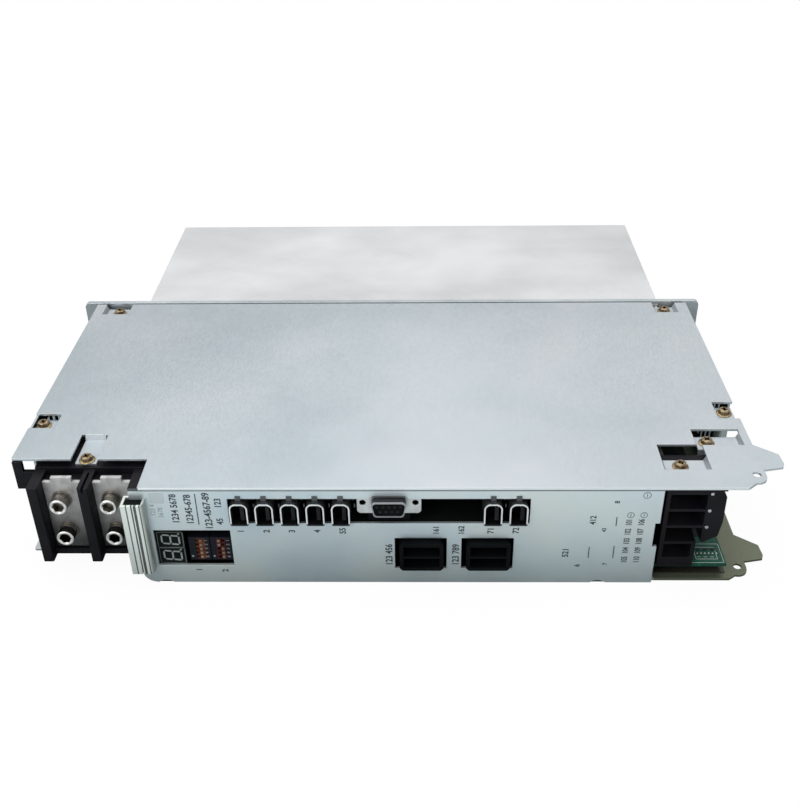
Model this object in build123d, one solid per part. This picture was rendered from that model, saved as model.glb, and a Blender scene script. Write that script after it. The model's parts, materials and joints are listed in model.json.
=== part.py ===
"""Panel-mount servo drive module, lying on its side.

+X runs along the module towards the motor terminals, +Y towards the rear and the
heat sink, +Z across the narrow width.  The origin is the centre of the mounting
holes on the flange's rear face.  All sizes are in millimetres.
"""
import math
import os

from build123d import *

# ---- Overall sizes ----
case_width = 58.4            # across the module, over both side panels
body_length = 362.6          # side panels, end to end
body_depth = 191.4           # front plate's face to the flange's rear face
flange_length = 380.0
sink_depth = 119.6           # heat sink behind the flange
sink_start_inset = 30.8      # heat sink's ends, in from the body's ends
sink_end_inset = 16.3

# ---- Sheet and plate thicknesses ----
sheet = 1.2
front_thickness = 1.5
flange_thickness = 3.0
board_thickness = 1.6
bar_thickness = 1.5

# ---- Clearances ----
rear_gap = 1.0               # side panels stop short of the flange
slip = 0.3                   # loose clearance around posts, stems and screws
thread_play = 0.05           # between a screw and its threaded hole
slider_play = 0.15           # around a switch slider

# ---- Planes that everything is placed from ----
top = case_width / 2
bottom = -case_width / 2
front = -body_depth
left = -body_length / 2
right = body_length / 2
flange_front = -flange_thickness
panel_back = flange_front - rear_gap
inner_top = top - sheet
inner_bottom = bottom + sheet


def behind(depth):
    """Y of a plane that lies depth behind the front plate's face."""
    return front + depth


def above(height):
    """Z of a plane that lies height above the module's underside."""
    return bottom + height


# ---- Side panels ----
front_step_length = 67.0     # the panels step back over the DC terminals
front_step_depth = 23.5
tongue_root = 34.9           # where the front tongue starts, behind the front face
tongue_reach = 10.8          # past the end of the body
tongue_back = 26.7
tongue_front = 19.1
tongue_foot = 14.5
ear_centre_inset = 5.3
ear_centre_depth = 9.2
ear_radius = 5.2
ear_hole_radius = 2.0
ear_hole_inset = 4.3
ear_hole_depth = 10.5
panel_corner_radius = 1.0

# ---- Screw tabs of the side cover ----
joggle = 3.0                 # a tab's flat lies this far below the cover's face
joggle_run = 1.5
tab_width = 10.5
cover_screw_radius = 2.0
cover_screw_length = 6.0
cover_head_radius = 3.6
cover_head_height = 2.1
cover_washer_radius = 4.0
cover_washer_height = 0.7
post_radius = 3.5
tab_seat = top - joggle - sheet

# ---- Front plate ----
plate_left = left + 62.5
plate_right = right - 49.2
plate_corner_radius = 7.0
slot_start = 46.2            # connector slot, from the plate's left edge
slot_length = 142.9
slot_drop = 6.3              # slot's upper edge, down from the cover's face
slot_height = 14.7
display_start = 8.6
display_length = 37.3
display_low = 11.0
display_height = 22.1
hand_notch_low = 23.0
hand_notch_height = 14.3
hand_notch_depth = 2.2
edge_notch_length = 7.0
edge_notch_height = 1.3
edge_notch_places = (11.1, 224.6)

# ---- Catch for the terminal cover ----
catch_low = 10.0
catch_height = 42.0
catch_left = plate_left - 3.2
catch_width = 10.7
catch_rise = 5.5
catch_gap = 0.6
catch_flat = 5.0
catch_bend = 2.6

# ---- Mounting flange ----
flange_corner_radius = 3.0
mount_hole_radius = 2.75
mount_hole_inset = 4.4
mount_hole_rows = 30.0
sink_window_border = 1.8

# ---- Heat sink ----
fin_thickness = 1.5
fin_count = 13
sink_base = 8.0
sink_overlap = 5.5           # base plate laps the flange at its ends
sink_slip = 0.4
sink_ear_half = 19.0         # half height of the laps
sink_relief_half = 22.5      # base corners stay below this, clear of the cover's tabs
sink_relief_length = 4.5
sink_screw_radius = 1.5
sink_head_radius = 2.4
sink_half = case_width / 2 - sink_window_border - 0.2

# ---- Vented end plates ----
left_end_start = 47.0
right_end_start = 76.0
vent_width = 3.0
vent_length = 40.0
vent_pitch = 7.0
vent_margin = 12.0
foot_length = 9.3
seat_width = 11.0            # bent seats that carry the cover's screws
seat_reach = 5.0             # past the screw
flange_screw_rows = 36.0
flange_screw_radius = 2.0
flange_screw_length = 3.6
flange_head_radius = 3.8
flange_head_height = 2.2

# ---- DC bus terminals ----
dc_left = left + 11.3
dc_length = 54.0
dc_back = 45.0
dc_body_front = 22.0
dc_step_front = 16.0
dc_barrier_front = 6.5
dc_low = 7.5
dc_barrier_width = 5.2
dc_barrier_drop = 5.4
dc_step_drop = 8.4
dc_slot_width = 1.2
dc_slot_depth = 3.0
dc_floor_front = 12.0
dc_floor_height = 3.5
dc_plate_thickness = 2.0
dc_plate_drop = 7.0
dc_plate_low = 11.5
dc_tab_length = 10.0
dc_tab_height = 2.6
dc_bolt_radius = 2.5
dc_bolt_length = 14.0
dc_head_radius = 4.3
dc_head_height = 5.0
dc_key_width = 4.0
dc_key_depth = 2.6
dc_spring_height = 1.2
dc_washer_height = 1.0
dc_washer_radius = 5.0
dc_bolt_heights = (21.9, 41.2)
dc_bar_height = 5.6
dc_bar_centres = (35.0, 28.3)
dc_bar_reaches = (72.0, 34.0)

# ---- Motor terminals ----
motor_left = plate_right + 2.4
motor_length = 30.5
motor_front = 4.0
motor_back = 32.0
motor_post = 2.0
motor_bay_length = 17.5
motor_bay_depth = 12.0
motor_rib = 1.4
motor_pitch = 10.0
motor_first_rib = 12.0
motor_bays = 4
motor_lid_height = 3.0
motor_lid_depth = 8.0
motor_short_bay = 13.5
motor_plate_width = 12.0
motor_plate_play = 0.8
motor_plate_height = motor_pitch - motor_rib - 2 * motor_plate_play
motor_screw_radius = 2.0
motor_head_radius = 3.2
motor_head_height = 2.0
motor_stem_inset = 2.2       # behind the plates, from the bays' left side
motor_screw_inset = 9.6
motor_bar_height = 7.0
motor_bar_reaches = (34.0, 50.0, 66.0)
pin_radius = 0.9

# ---- Circuit boards ----
power_board_low = 5.6
power_board_back = 165.0
power_board_front = 5.6
power_board_end_inset = 11.8
power_board_left_inset = 16.3
power_board_step = 50.0
control_drop = 21.8          # control board's top face, down from the cover's face
control_back = 100.0
control_front = 3.2
film_thickness = 0.4
board_post_radius = 3.0
board_screw_radius = 1.5
board_head_radius = 2.8
board_head_height = 1.8
link_header_length = 40.0
link_header_inset = 70.0

# ---- Link sockets ----
link_width = 8.7
link_height = 12.8
link_wall = 0.7
link_lift = 1.2              # over the control board
link_nose = 2.5
link_back = 12.0
link_round = 3.2
link_pitch = 12.06
link_first = 51.4            # first socket's centre, from the plate's left edge
link_count = 5
link_pair_first = 171.6
link_pair_count = 2
tongue_thickness = 1.8
tongue_shift = 0.75
cavity_depth = 8.0
finger_width = 2.6
finger_thickness = 0.3
finger_lap = 1.6

# ---- D-sub socket ----
dsub_centre = 122.5          # from the plate's left edge
dsub_flange_length = 30.5
dsub_flange_height = 12.5
dsub_flange_thickness = 0.8
dsub_hole_spacing = 24.99
dsub_hole_radius = 1.55
dsub_drop = 9.6
dsub_shell_width = 16.9
dsub_shell_height = 8.3
dsub_shell_wall = 0.5
dsub_nose = 4.5
dsub_taper = 1.4
dsub_body_back = 12.0
dsub_contact_radius = 0.55
dsub_contact_pitch = 2.77

# ---- Power headers ----
header_cut_length = 25.1
header_cut_low = 9.1
header_cut_height = 19.2
header_first_cut = 124.9
header_cut_pitch = 32.2
header_length = 21.2
header_height = 16.5
header_low = 10.6
header_shift = 0.4
header_nose = 3.5
header_back = 14.0
header_wall = 1.8
header_rib = 1.0
header_recess = 9.0
header_chamfer = 1.4
header_pin = 1.0
header_pin_pitch = 4.2
header_pin_columns = 4
header_pin_reach = 3.2

# ---- Display and setting switches ----
display_face = 2.0
display_board_front = 10.0
digit_length = 12.9
digit_width = 9.9
digit_first_height = 25.6
digit_start = 9.3
digit_recess = 0.4
digit_tall = 10.16
digit_wide = 5.8
segment_width = 0.9
segment_gap = 0.35
dip_face = 3.0
dip_length = 14.4
dip_width = 10.2
dip_height = 19.1
dip_centres = (29.2, 39.85)
dip_pitch = 2.54
dip_count = 5
dip_travel = 1.8
slider_width = 1.5
slider_thickness = 1.4
slider_sink = 1.2
slider_rise = 0.8

# ---- Power stage ----
module_length = 108.0
module_height = 43.0
module_depth = 22.0
module_step = 4.0
module_insets = (67.0, 198.0)
module_screw_radius = 2.5
module_head_radius = 4.2
module_head_height = 2.6
module_screw_length = 10.0
module_ear = 9.0
boss_radius = 3.6
boss_height = 1.5
can_radius = 12.4
can_length = 46.0
can_front = 60.0
can_gap = 2.2
can_pitch = 2 * can_radius + can_gap
can_first = 78.0
can_count = 4
coil_size = 16.0
coil_height = 14.0
coil_count = 3
sensor_front = 70.0
sensor_depth = 14.0

link_centres = [plate_left + link_first + link_pitch * i for i in range(link_count)]
link_centres += [plate_left + link_pair_first + link_pitch * i for i in range(link_pair_count)]
control_top = top - control_drop
control_bottom = control_top - board_thickness
link_low = control_top + link_lift
power_top = above(power_board_low) + board_thickness
power_bottom = above(power_board_low)
motor_right = motor_left + motor_length
motor_stem_x = motor_left + motor_post + motor_stem_inset
motor_screw_x = motor_left + motor_post + motor_screw_inset
dc_right = dc_left + dc_length
module_front = flange_front - sink_base - module_depth
module_centres = [left + inset + module_length / 2 for inset in module_insets]
bar_back = module_front - boss_height
can_centres = [left + can_first + can_pitch * i + can_radius for i in range(can_count)]
header_centres = [plate_left + header_first_cut + header_cut_length / 2]
header_centres.append(header_centres[0] + header_cut_pitch)


def block(x_low, x_high, y_low, y_high, z_low, z_high):
    """Rectangular block between two corners."""
    centre = Pos((x_low + x_high) / 2, (y_low + y_high) / 2, (z_low + z_high) / 2)
    return centre * Box(x_high - x_low, y_high - y_low, z_high - z_low)


def rod_up(x, y, z, radius, length):
    """Round rod that stands on z and runs along +Z."""
    return Pos(x, y, z + length / 2) * Cylinder(radius, length)


def rod_back(x, y, z, radius, length):
    """Round rod that starts at y and runs along +Y."""
    return Pos(x, y + length / 2, z) * Rot(90, 0, 0) * Cylinder(radius, length)


def group(solids):
    """Separate solids that share one node."""
    return Compound(children=list(solids))


def prism_back(points, y_low, y_high):
    """Solid with an X-Z outline that runs from y_low to y_high."""
    face = make_face(Plane.XZ * Polyline(*points, close=True))
    return Pos(0, y_low, 0) * extrude(face, amount=y_high - y_low, dir=(0, 1, 0))


# ---- Casing ----

def panel_outline(front_depth):
    """Outline shared by both side panels, seen along Z."""
    low = behind(front_depth)
    step = behind(front_step_depth)
    step_x = left + front_step_length
    ear_left = right - ear_centre_inset - ear_radius
    body = make_face(Polyline(
        (left, panel_back), (right, panel_back), (right, behind(ear_centre_depth)),
        (ear_left, low), (step_x, low), (step_x, step), (left, step), close=True))
    body = fillet(body.vertices(), panel_corner_radius)
    tongue = make_face(Polyline(
        (right - ear_radius, behind(tongue_root)), (right, behind(tongue_root)),
        (right + tongue_reach - 0.4, behind(tongue_back)),
        (right + tongue_reach, behind(tongue_front)),
        (right + tongue_reach - 1.0, behind(tongue_foot + 1.8)),
        (right + 1.1, behind(tongue_foot)),
        (right - ear_radius, behind(tongue_foot)), close=True))
    ear = Pos(right - ear_centre_inset, behind(ear_centre_depth)) * Circle(ear_radius)
    hole = Pos(right - ear_hole_inset, behind(ear_hole_depth)) * Circle(ear_hole_radius)
    return body + tongue + ear - hole


def screw_tab(root_x, root_depth, turn, length, screw_reach, width=tab_width):
    """Joggled tab of the cover: it slopes down from its root, then lies flat."""
    profile = Polyline(
        (-0.5, 0), (0, 0), (joggle_run, -joggle), (length, -joggle),
        (length, -joggle - sheet), (joggle_run, -joggle - sheet), (0, -sheet),
        (-0.5, -sheet), close=True)
    tab = extrude(make_face(Plane.XZ * profile), amount=width / 2, both=True)
    hole_length = sheet * 3
    tab -= Pos(screw_reach, 0, -joggle) * Cylinder(cover_screw_radius + slip, hole_length)
    return Pos(root_x, behind(root_depth), top) * Rot(0, 0, turn) * tab


def rear_tab_depth():
    """Depth of the two rear tabs' centre line behind the front face."""
    return panel_back - front - 6.8


# Cut-outs of the cover: left x, right x, near depth, far depth.
def cover_windows():
    rear = panel_back - front
    return [
        (left + 5.8, left + 21.9, rear - 13.4, rear + 1),
        (right - 20.8, right - 6.9, rear - 13.4, rear + 1),
        (left - 1, left + 13.5, 50.5, 63.6),
        (right - 10.9, right + 1, 58.1, 73.6),
        (left + 29.2, left + 42.6, front_step_depth - 1, 44.6),
        (right - 46.7, right - 24.3, 14.6, 35.2),
        (right - 27.3, right - 3.7, 34.7, 48.5),
    ]


# Tabs of the cover: root x, depth, turn, length, root to screw.
def cover_tabs():
    return [
        (left + 5.8, rear_tab_depth(), 0, 14.6, 9.1),
        (right - 6.9, rear_tab_depth(), 180, 12.6, 7.1),
        (left + 13.5, 57.0, 180, 12.0, 8.0),
        (right - 10.9, 67.3, 0, 10.0, 5.4),
        (left + 36.1, 44.6, -90, 20.6, 17.8),
        (right - 24.3, 20.7, 180, 21.0, 13.4),
        (right - 3.7, 40.4, 180, 22.2, 17.0),
    ]


def tab_screw_place(tab):
    """X and Y of a tab's screw."""
    root_x, depth, turn, _, reach = tab
    angle = math.radians(turn)
    return root_x + reach * math.cos(angle), behind(depth) + reach * math.sin(angle)


def side_cover():
    """Removable upper side panel with its joggled screw tabs."""
    cover = Pos(0, 0, inner_top) * extrude(panel_outline(0), amount=sheet)
    for x_low, x_high, near, far in cover_windows():
        cover -= block(x_low, x_high, behind(near), behind(far), top - 2 * sheet, top + 1)
    for tab in cover_tabs():
        cover += screw_tab(*tab)
    slit = block(right - 7.4, right + 1, panel_back - 1.0, panel_back + 1, inner_top - 1, top + 1)
    return cover - slit


def base_panel():
    """Lower side panel with a lip that backs the front plate."""
    panel = Pos(0, 0, bottom) * extrude(panel_outline(front_thickness), amount=sheet)
    lip_height = 3.4
    lip = block(plate_left + 2 * plate_corner_radius, plate_right - 2.0,
                behind(front_thickness), behind(front_thickness + sheet),
                inner_bottom - 0.2, inner_bottom + lip_height)
    for place in edge_notch_places:
        x = plate_left + place
        lip -= block(x - edge_notch_length, x + edge_notch_length, behind(0), behind(4),
                     inner_bottom, inner_bottom + lip_height + 1)
    return panel + lip


def cover_posts():
    """Posts under the two tabs that have neither a seat nor a terminal block below."""
    posts = []
    for index in (3, 6):
        x, y = tab_screw_place(cover_tabs()[index])
        post = rod_up(x, y, inner_bottom, post_radius, tab_seat - inner_bottom)
        thread = cover_screw_radius + thread_play
        post -= rod_up(x, y, tab_seat - cover_screw_length, thread, cover_screw_length + 1)
        posts.append(post)
    return group(posts)


def cross_recess(z_top, size, depth):
    """Cross-shaped driver recess, as a cutter centred on the Z axis."""
    slot = size / 4
    middle = z_top - depth / 2
    cutter = Pos(0, 0, middle) * Box(size, slot, depth)
    return cutter + Pos(0, 0, middle) * Box(slot, size, depth)


def cover_screw():
    """Flanged cross-head screw; z = 0 is the face that it clamps."""
    head_top = cover_washer_height + cover_head_height
    screw = Pos(0, 0, cover_washer_height / 2) * Cylinder(cover_washer_radius, cover_washer_height)
    head = Pos(0, 0, cover_washer_height + cover_head_height / 2)
    head *= Cylinder(cover_head_radius, cover_head_height)
    rim = head.edges().group_by(Axis.Z)[-1]
    screw += fillet(rim, 0.9)
    screw -= cross_recess(head_top, 3.6, 1.4)
    shank = Pos(0, 0, -cover_screw_length / 2 + 0.1)
    return screw + shank * Cylinder(cover_screw_radius, cover_screw_length + 0.2)


def cover_screws():
    """The cover's screws, each on its own tab."""
    screw = cover_screw()
    seat = top - joggle
    return group(Pos(*tab_screw_place(tab), seat) * screw for tab in cover_tabs())


def front_plate():
    """Front plate with the connector, header and display cut-outs."""
    plate = block(plate_left, plate_right, behind(0), behind(front_thickness), bottom, inner_top)
    corner = plate.edges().filter_by(Axis.Y).sort_by(lambda e: e.center().X + e.center().Z)[0]
    plate = fillet(corner, plate_corner_radius)
    cutters = [block(plate_left + slot_start, plate_left + slot_start + slot_length,
                     behind(-1), behind(3), top - slot_drop - slot_height, top - slot_drop)]
    cutters.append(block(plate_left + display_start,
                         plate_left + display_start + display_length, behind(-1), behind(3),
                         above(display_low), above(display_low + display_height)))
    for centre in header_centres:
        half = header_cut_length / 2
        cutters.append(block(centre - half, centre + half, behind(-1), behind(3),
                             above(header_cut_low), above(header_cut_low + header_cut_height)))
    cutters.append(block(plate_right - hand_notch_depth, plate_right + 1, behind(-1), behind(3),
                         above(hand_notch_low), above(hand_notch_low + hand_notch_height)))
    shell = dsub_outline(dsub_shell_width + 2, dsub_shell_height + 1.4)
    cutters.append(Pos(plate_left + dsub_centre, behind(-1), top - dsub_drop)
                   * extrude(shell, amount=4, dir=(0, 1, 0)))
    for place in edge_notch_places:
        x = plate_left + place
        notch = Pos(x, behind(0), bottom) * scale(
            Rot(90, 0, 0) * Cylinder(edge_notch_length / 2, 6),
            (1, 1, 2 * edge_notch_height / edge_notch_length))
        cutters.append(notch)
    for cutter in cutters:
        plate -= cutter
    return plate


def terminal_cover_catch():
    """Folded catch beside the DC terminals: two bent strips with a slit between them."""
    low = above(catch_low)
    foot = behind(front_thickness)
    face = behind(-catch_rise)
    strip = Polyline(
        (catch_left, foot + sheet), (catch_left, face), (catch_left + catch_flat, face),
        (catch_left + catch_flat, face + sheet), (catch_left + sheet, face + sheet),
        (catch_left + sheet, foot), (catch_left + catch_width, foot),
        (catch_left + catch_width, foot + sheet), close=True)
    flat_strip = extrude(make_face(strip), amount=catch_height)
    start = catch_left + catch_flat + catch_gap
    end = catch_left + catch_width
    hood = block(start, end, face, behind(0), 0, catch_height)
    hood -= block(start - 1, end - sheet, face + sheet, behind(0) + 1, -1, catch_height + 1)
    outer = hood.edges().filter_by(Axis.Z).sort_by(lambda e: e.center().X - e.center().Y)[-1]
    hood = fillet(outer, catch_bend)
    return group([Pos(0, 0, low) * flat_strip, Pos(0, 0, low) * hood])


def mounting_flange():
    """Rear flange plate with the heat sink's window and the mounting holes."""
    half = flange_length / 2
    plate = block(-half, half, flange_front, 0, bottom, top)
    plate = fillet(plate.edges().filter_by(Axis.Y), flange_corner_radius)
    plate -= block(left + sink_start_inset - sink_slip, right - sink_end_inset + sink_slip,
                   flange_front - 1, 1, bottom + sink_window_border, top - sink_window_border)
    for x in (-half + mount_hole_inset, half - mount_hole_inset):
        for z in (-mount_hole_rows / 2, mount_hole_rows / 2):
            plate -= rod_back(x, flange_front - 1, z, mount_hole_radius, flange_thickness + 2)
    for x, z in flange_screw_places():
        hole = flange_screw_radius + thread_play
        plate -= rod_back(x, flange_front - 1, z, hole, flange_thickness + 2)
    for x, z in sink_screw_places():
        hole = sink_screw_radius + thread_play
        plate -= rod_back(x, flange_front - 1, z, hole, flange_thickness + 2)
    return plate


def flange_screw_places():
    """X and Z of the screws that hold the end plates to the flange."""
    reach = sheet + foot_length / 2 + 1
    rows = (-flange_screw_rows / 2, flange_screw_rows / 2)
    return [(x, z) for x in (left + reach, right - reach) for z in rows]


def sink_screw_places():
    """X and Z of the screws that hold the heat sink's base to the flange."""
    rows = (-sink_ear_half / 2, sink_ear_half / 2)
    ends = (left + sink_start_inset - sink_overlap / 2 - sink_slip,
            right - sink_end_inset + sink_overlap / 2 + sink_slip)
    return [(x, z) for x in ends for z in rows]


def heat_sink():
    """Base plate in front of the flange, with fins that pass through its window."""
    start = left + sink_start_inset
    end = right - sink_end_inset
    base_front = flange_front - sink_base
    sink = block(start, end, base_front, flange_front, -sink_relief_half, sink_relief_half)
    sink += block(start + sink_relief_length, end - sink_relief_length, base_front,
                  flange_front, -sink_half, sink_half)
    sink += block(start - sink_overlap, end + sink_overlap, base_front, flange_front,
                  -sink_ear_half, sink_ear_half)
    pitch = (2 * sink_half - fin_thickness) / (fin_count - 1)
    for index in range(fin_count):
        z = -sink_half + pitch * index
        sink += block(start, end, flange_front - 0.5, sink_depth, z, z + fin_thickness)
    for x, z in sink_screw_places():
        hole = sink_screw_radius + thread_play
        sink -= rod_back(x, base_front - 1, z, hole, sink_base + 2)
    for x, z in module_screw_places():
        hole = module_screw_radius + thread_play
        sink -= rod_back(x, base_front - 1, z, hole, sink_base)
    return sink


def end_plate(inner_face, outer_face, start_depth, inwards, seat_tabs):
    """Vented end wall with a foot screwed to the flange, and seats for cover tabs."""
    low = inner_bottom
    high = inner_top
    near = behind(start_depth)
    plate = block(min(inner_face, outer_face), max(inner_face, outer_face), near, flange_front,
                  low, high)
    foot_tip = inner_face + inwards * foot_length
    plate += block(min(inner_face, foot_tip), max(inner_face, foot_tip),
                   flange_front - sheet, flange_front, low + 4, high - 4)
    span = flange_front - near - 2 * vent_margin
    count = int(span // vent_pitch) + 1
    for index in range(count):
        y = near + vent_margin + index * vent_pitch
        plate -= block(min(inner_face, outer_face) - 1, max(inner_face, outer_face) + 1,
                       y, y + vent_width, -vent_length / 2, vent_length / 2)
    for x, z in flange_screw_places():
        plate -= rod_back(x, flange_front - sheet - 1, z, flange_screw_radius + slip, 3)
    for index in seat_tabs:
        x, y = tab_screw_place(cover_tabs()[index])
        seat_tip = x + inwards * seat_reach
        plate += block(min(inner_face, seat_tip), max(inner_face, seat_tip),
                       y - seat_width / 2, y + seat_width / 2, tab_seat - sheet, tab_seat)
        plate -= rod_up(x, y, tab_seat - 2 * sheet, cover_screw_radius + thread_play, 4 * sheet)
    return plate


def end_plate_left():
    return end_plate(left + sheet, left, left_end_start, 1, (0, 2))


def end_plate_right():
    return end_plate(right - sheet, right, right_end_start, -1, (1,))


def pan_screw(radius, length, head_radius, head_height):
    """Pan-head screw along +Y; y = 0 is the face that it clamps."""
    head = Pos(0, 0, head_height / 2) * Cylinder(head_radius, head_height)
    head = fillet(head.edges().group_by(Axis.Z)[-1], head_height * 0.4)
    head -= cross_recess(head_height, head_radius, head_height * 0.55)
    shank = Pos(0, 0, -length / 2 + 0.1) * Cylinder(radius, length + 0.2)
    return Rot(90, 0, 0) * (head + shank)


def flange_screws():
    """Screws through the end plates' feet into the flange."""
    screw = pan_screw(flange_screw_radius, flange_screw_length, flange_head_radius,
                      flange_head_height)
    seat = flange_front - sheet
    return group(Pos(x, seat, z) * screw for x, z in flange_screw_places())


def sink_screws():
    """Screws through the heat sink's base into the flange."""
    screw = pan_screw(sink_screw_radius, sink_base + flange_thickness - 0.6,
                      sink_head_radius, flange_head_height)
    seat = flange_front - sink_base
    return group(Pos(x, seat, z) * screw for x, z in sink_screw_places())


# ---- DC bus terminals ----

def dc_bay_edges():
    """Inner X limits of the two terminal bays."""
    inner = dc_length - 3 * dc_barrier_width
    first = dc_left + dc_barrier_width
    second = first + inner / 2 + dc_barrier_width
    return [(first, first + inner / 2), (second, second + inner / 2)]


def dc_bolt_places():
    """X and Z of the four terminal bolts."""
    return [((low + high) / 2 - 1.5, above(height)) for low, high in dc_bay_edges()
            for height in dc_bolt_heights]


def dc_terminal_block():
    """Moulded block with three barriers, two bays and a side wing."""
    low = above(dc_low)
    back = behind(dc_back)
    moulding = block(dc_left, dc_right, behind(dc_body_front), back, low, tab_seat)
    moulding += block(dc_left, dc_right, behind(dc_step_front), behind(dc_body_front) + 1, low,
                      top - dc_step_drop)
    barrier_top = top - dc_barrier_drop
    for x in (dc_left, dc_bay_edges()[0][1], dc_right - dc_barrier_width):
        barrier = block(x, x + dc_barrier_width, behind(dc_barrier_front),
                        behind(dc_body_front) + 1, low, barrier_top)
        nose = barrier.edges().filter_by(Axis.Z).group_by(Axis.Y)[0]
        moulding += fillet(nose, 0.8)
    floor_low = low + 0.5
    moulding += block(dc_left + 1, dc_right - 1, behind(dc_floor_front),
                      behind(dc_body_front) + 1, floor_low, floor_low + dc_floor_height - 0.5)
    middle = dc_bay_edges()[0][1] + dc_barrier_width / 2
    moulding -= block(middle - dc_slot_width / 2, middle + dc_slot_width / 2,
                      behind(dc_barrier_front) - 1, behind(dc_body_front) - 2,
                      barrier_top - dc_slot_depth, barrier_top + 1)
    wing_low = inner_top - 16.2
    wing = block(left + 0.3, dc_left + 1, behind(front_step_depth - 1.0),
                 behind(front_step_depth + 1.4), wing_low + 3.0, inner_top - 6.0)
    wing += block(left + 0.3, left + 4.8, behind(front_step_depth - 1.0),
                  behind(front_step_depth + 1.4), wing_low, inner_top - 0.2)
    moulding += wing
    screw_x, screw_y = tab_screw_place(cover_tabs()[4])
    moulding -= rod_up(screw_x, screw_y, tab_seat - cover_screw_length,
                       cover_screw_radius + thread_play, cover_screw_length + 1)
    for x, z in dc_bolt_places():
        moulding -= rod_back(x, behind(dc_step_front) - 1, z, dc_bolt_radius + thread_play,
                             dc_bolt_length)
    for (bay_low, bay_high), centre in zip(dc_bay_edges(), dc_bar_centres):
        x = (bay_low + bay_high) / 2
        half = dc_bar_height / 2 + slip
        moulding -= block(x - bar_thickness / 2 - slip, x + bar_thickness / 2 + slip,
                          behind(dc_step_front) - 1, back + 1,
                          above(centre) - half, above(centre) + half)
    return moulding


def dc_busbar(bay, centre, reach):
    """Terminal plate with its tab, and the bar from it to the first power module."""
    bay_low, bay_high = bay
    near = behind(dc_step_front - dc_plate_thickness)
    plate_back = behind(dc_step_front)
    high = top - dc_plate_drop
    bar = block(bay_low + 0.2, bay_high - 0.2, near, plate_back, above(dc_plate_low), high)
    middle = (bay_low + bay_high) / 2
    bar += block(middle - dc_tab_length / 2, middle + dc_tab_length / 2, near, plate_back,
                 high - 1, high + dc_tab_height)
    z_low = above(centre) - dc_bar_height / 2
    z_high = z_low + dc_bar_height
    bar += block(middle - bar_thickness / 2, middle + bar_thickness / 2, plate_back - 0.5,
                 bar_back, z_low, z_high)
    bar += block(middle - bar_thickness / 2, left + reach, bar_back - bar_thickness, bar_back,
                 z_low, z_high)
    for x, z in dc_bolt_places():
        bar -= rod_back(x, near - 1, z, dc_bolt_radius + slip, dc_plate_thickness + 1.5)
    return bar


def dc_bar_ends():
    """X of the two bars' free ends, on the first module's bosses."""
    first = module_centres[0] - left - module_length / 2
    return [first + dc_bar_reaches[0], first + dc_bar_reaches[1]]


def dc_busbar_positive():
    return dc_busbar(dc_bay_edges()[0], dc_bar_centres[0], dc_bar_ends()[0])


def dc_busbar_negative():
    return dc_busbar(dc_bay_edges()[1], dc_bar_centres[1], dc_bar_ends()[1])


def dc_terminal_washers():
    """A flat washer and a spring washer under each bolt's head."""
    seat = behind(dc_step_front - dc_plate_thickness)
    hole = dc_bolt_radius + 0.15
    washers = []
    for x, z in dc_bolt_places():
        flat = rod_back(x, seat - dc_washer_height, z, dc_washer_radius, dc_washer_height)
        spring_near = seat - dc_washer_height - dc_spring_height
        spring = rod_back(x, spring_near, z, dc_head_radius, dc_spring_height)
        bore = rod_back(x, spring_near - 1, z, hole, 5)
        washers += [flat - bore, spring - bore]
    return group(washers)


def dc_terminal_bolts():
    """Socket-head bolts that clamp the DC bus links."""
    seat = behind(dc_step_front - dc_plate_thickness) - dc_washer_height - dc_spring_height
    bolts = []
    for x, z in dc_bolt_places():
        head = rod_back(x, seat - dc_head_height, z, dc_head_radius, dc_head_height)
        head = fillet(head.edges().group_by(Axis.Y)[0], 0.5)
        key = extrude(Plane.XZ * RegularPolygon(dc_key_width / 2, 6, major_radius=False),
                      amount=dc_key_depth, dir=(0, 1, 0))
        head -= Pos(x, seat - dc_head_height, z) * key
        bolts.append(head + rod_back(x, seat - 0.2, z, dc_bolt_radius, dc_bolt_length))
    return group(bolts)


# ---- Motor terminals ----

def motor_bay_centres():
    """Z of each bay's middle, from the lowest bay up."""
    return [above(motor_first_rib + motor_pitch * (i + 0.5)) for i in range(motor_bays)]


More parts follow.
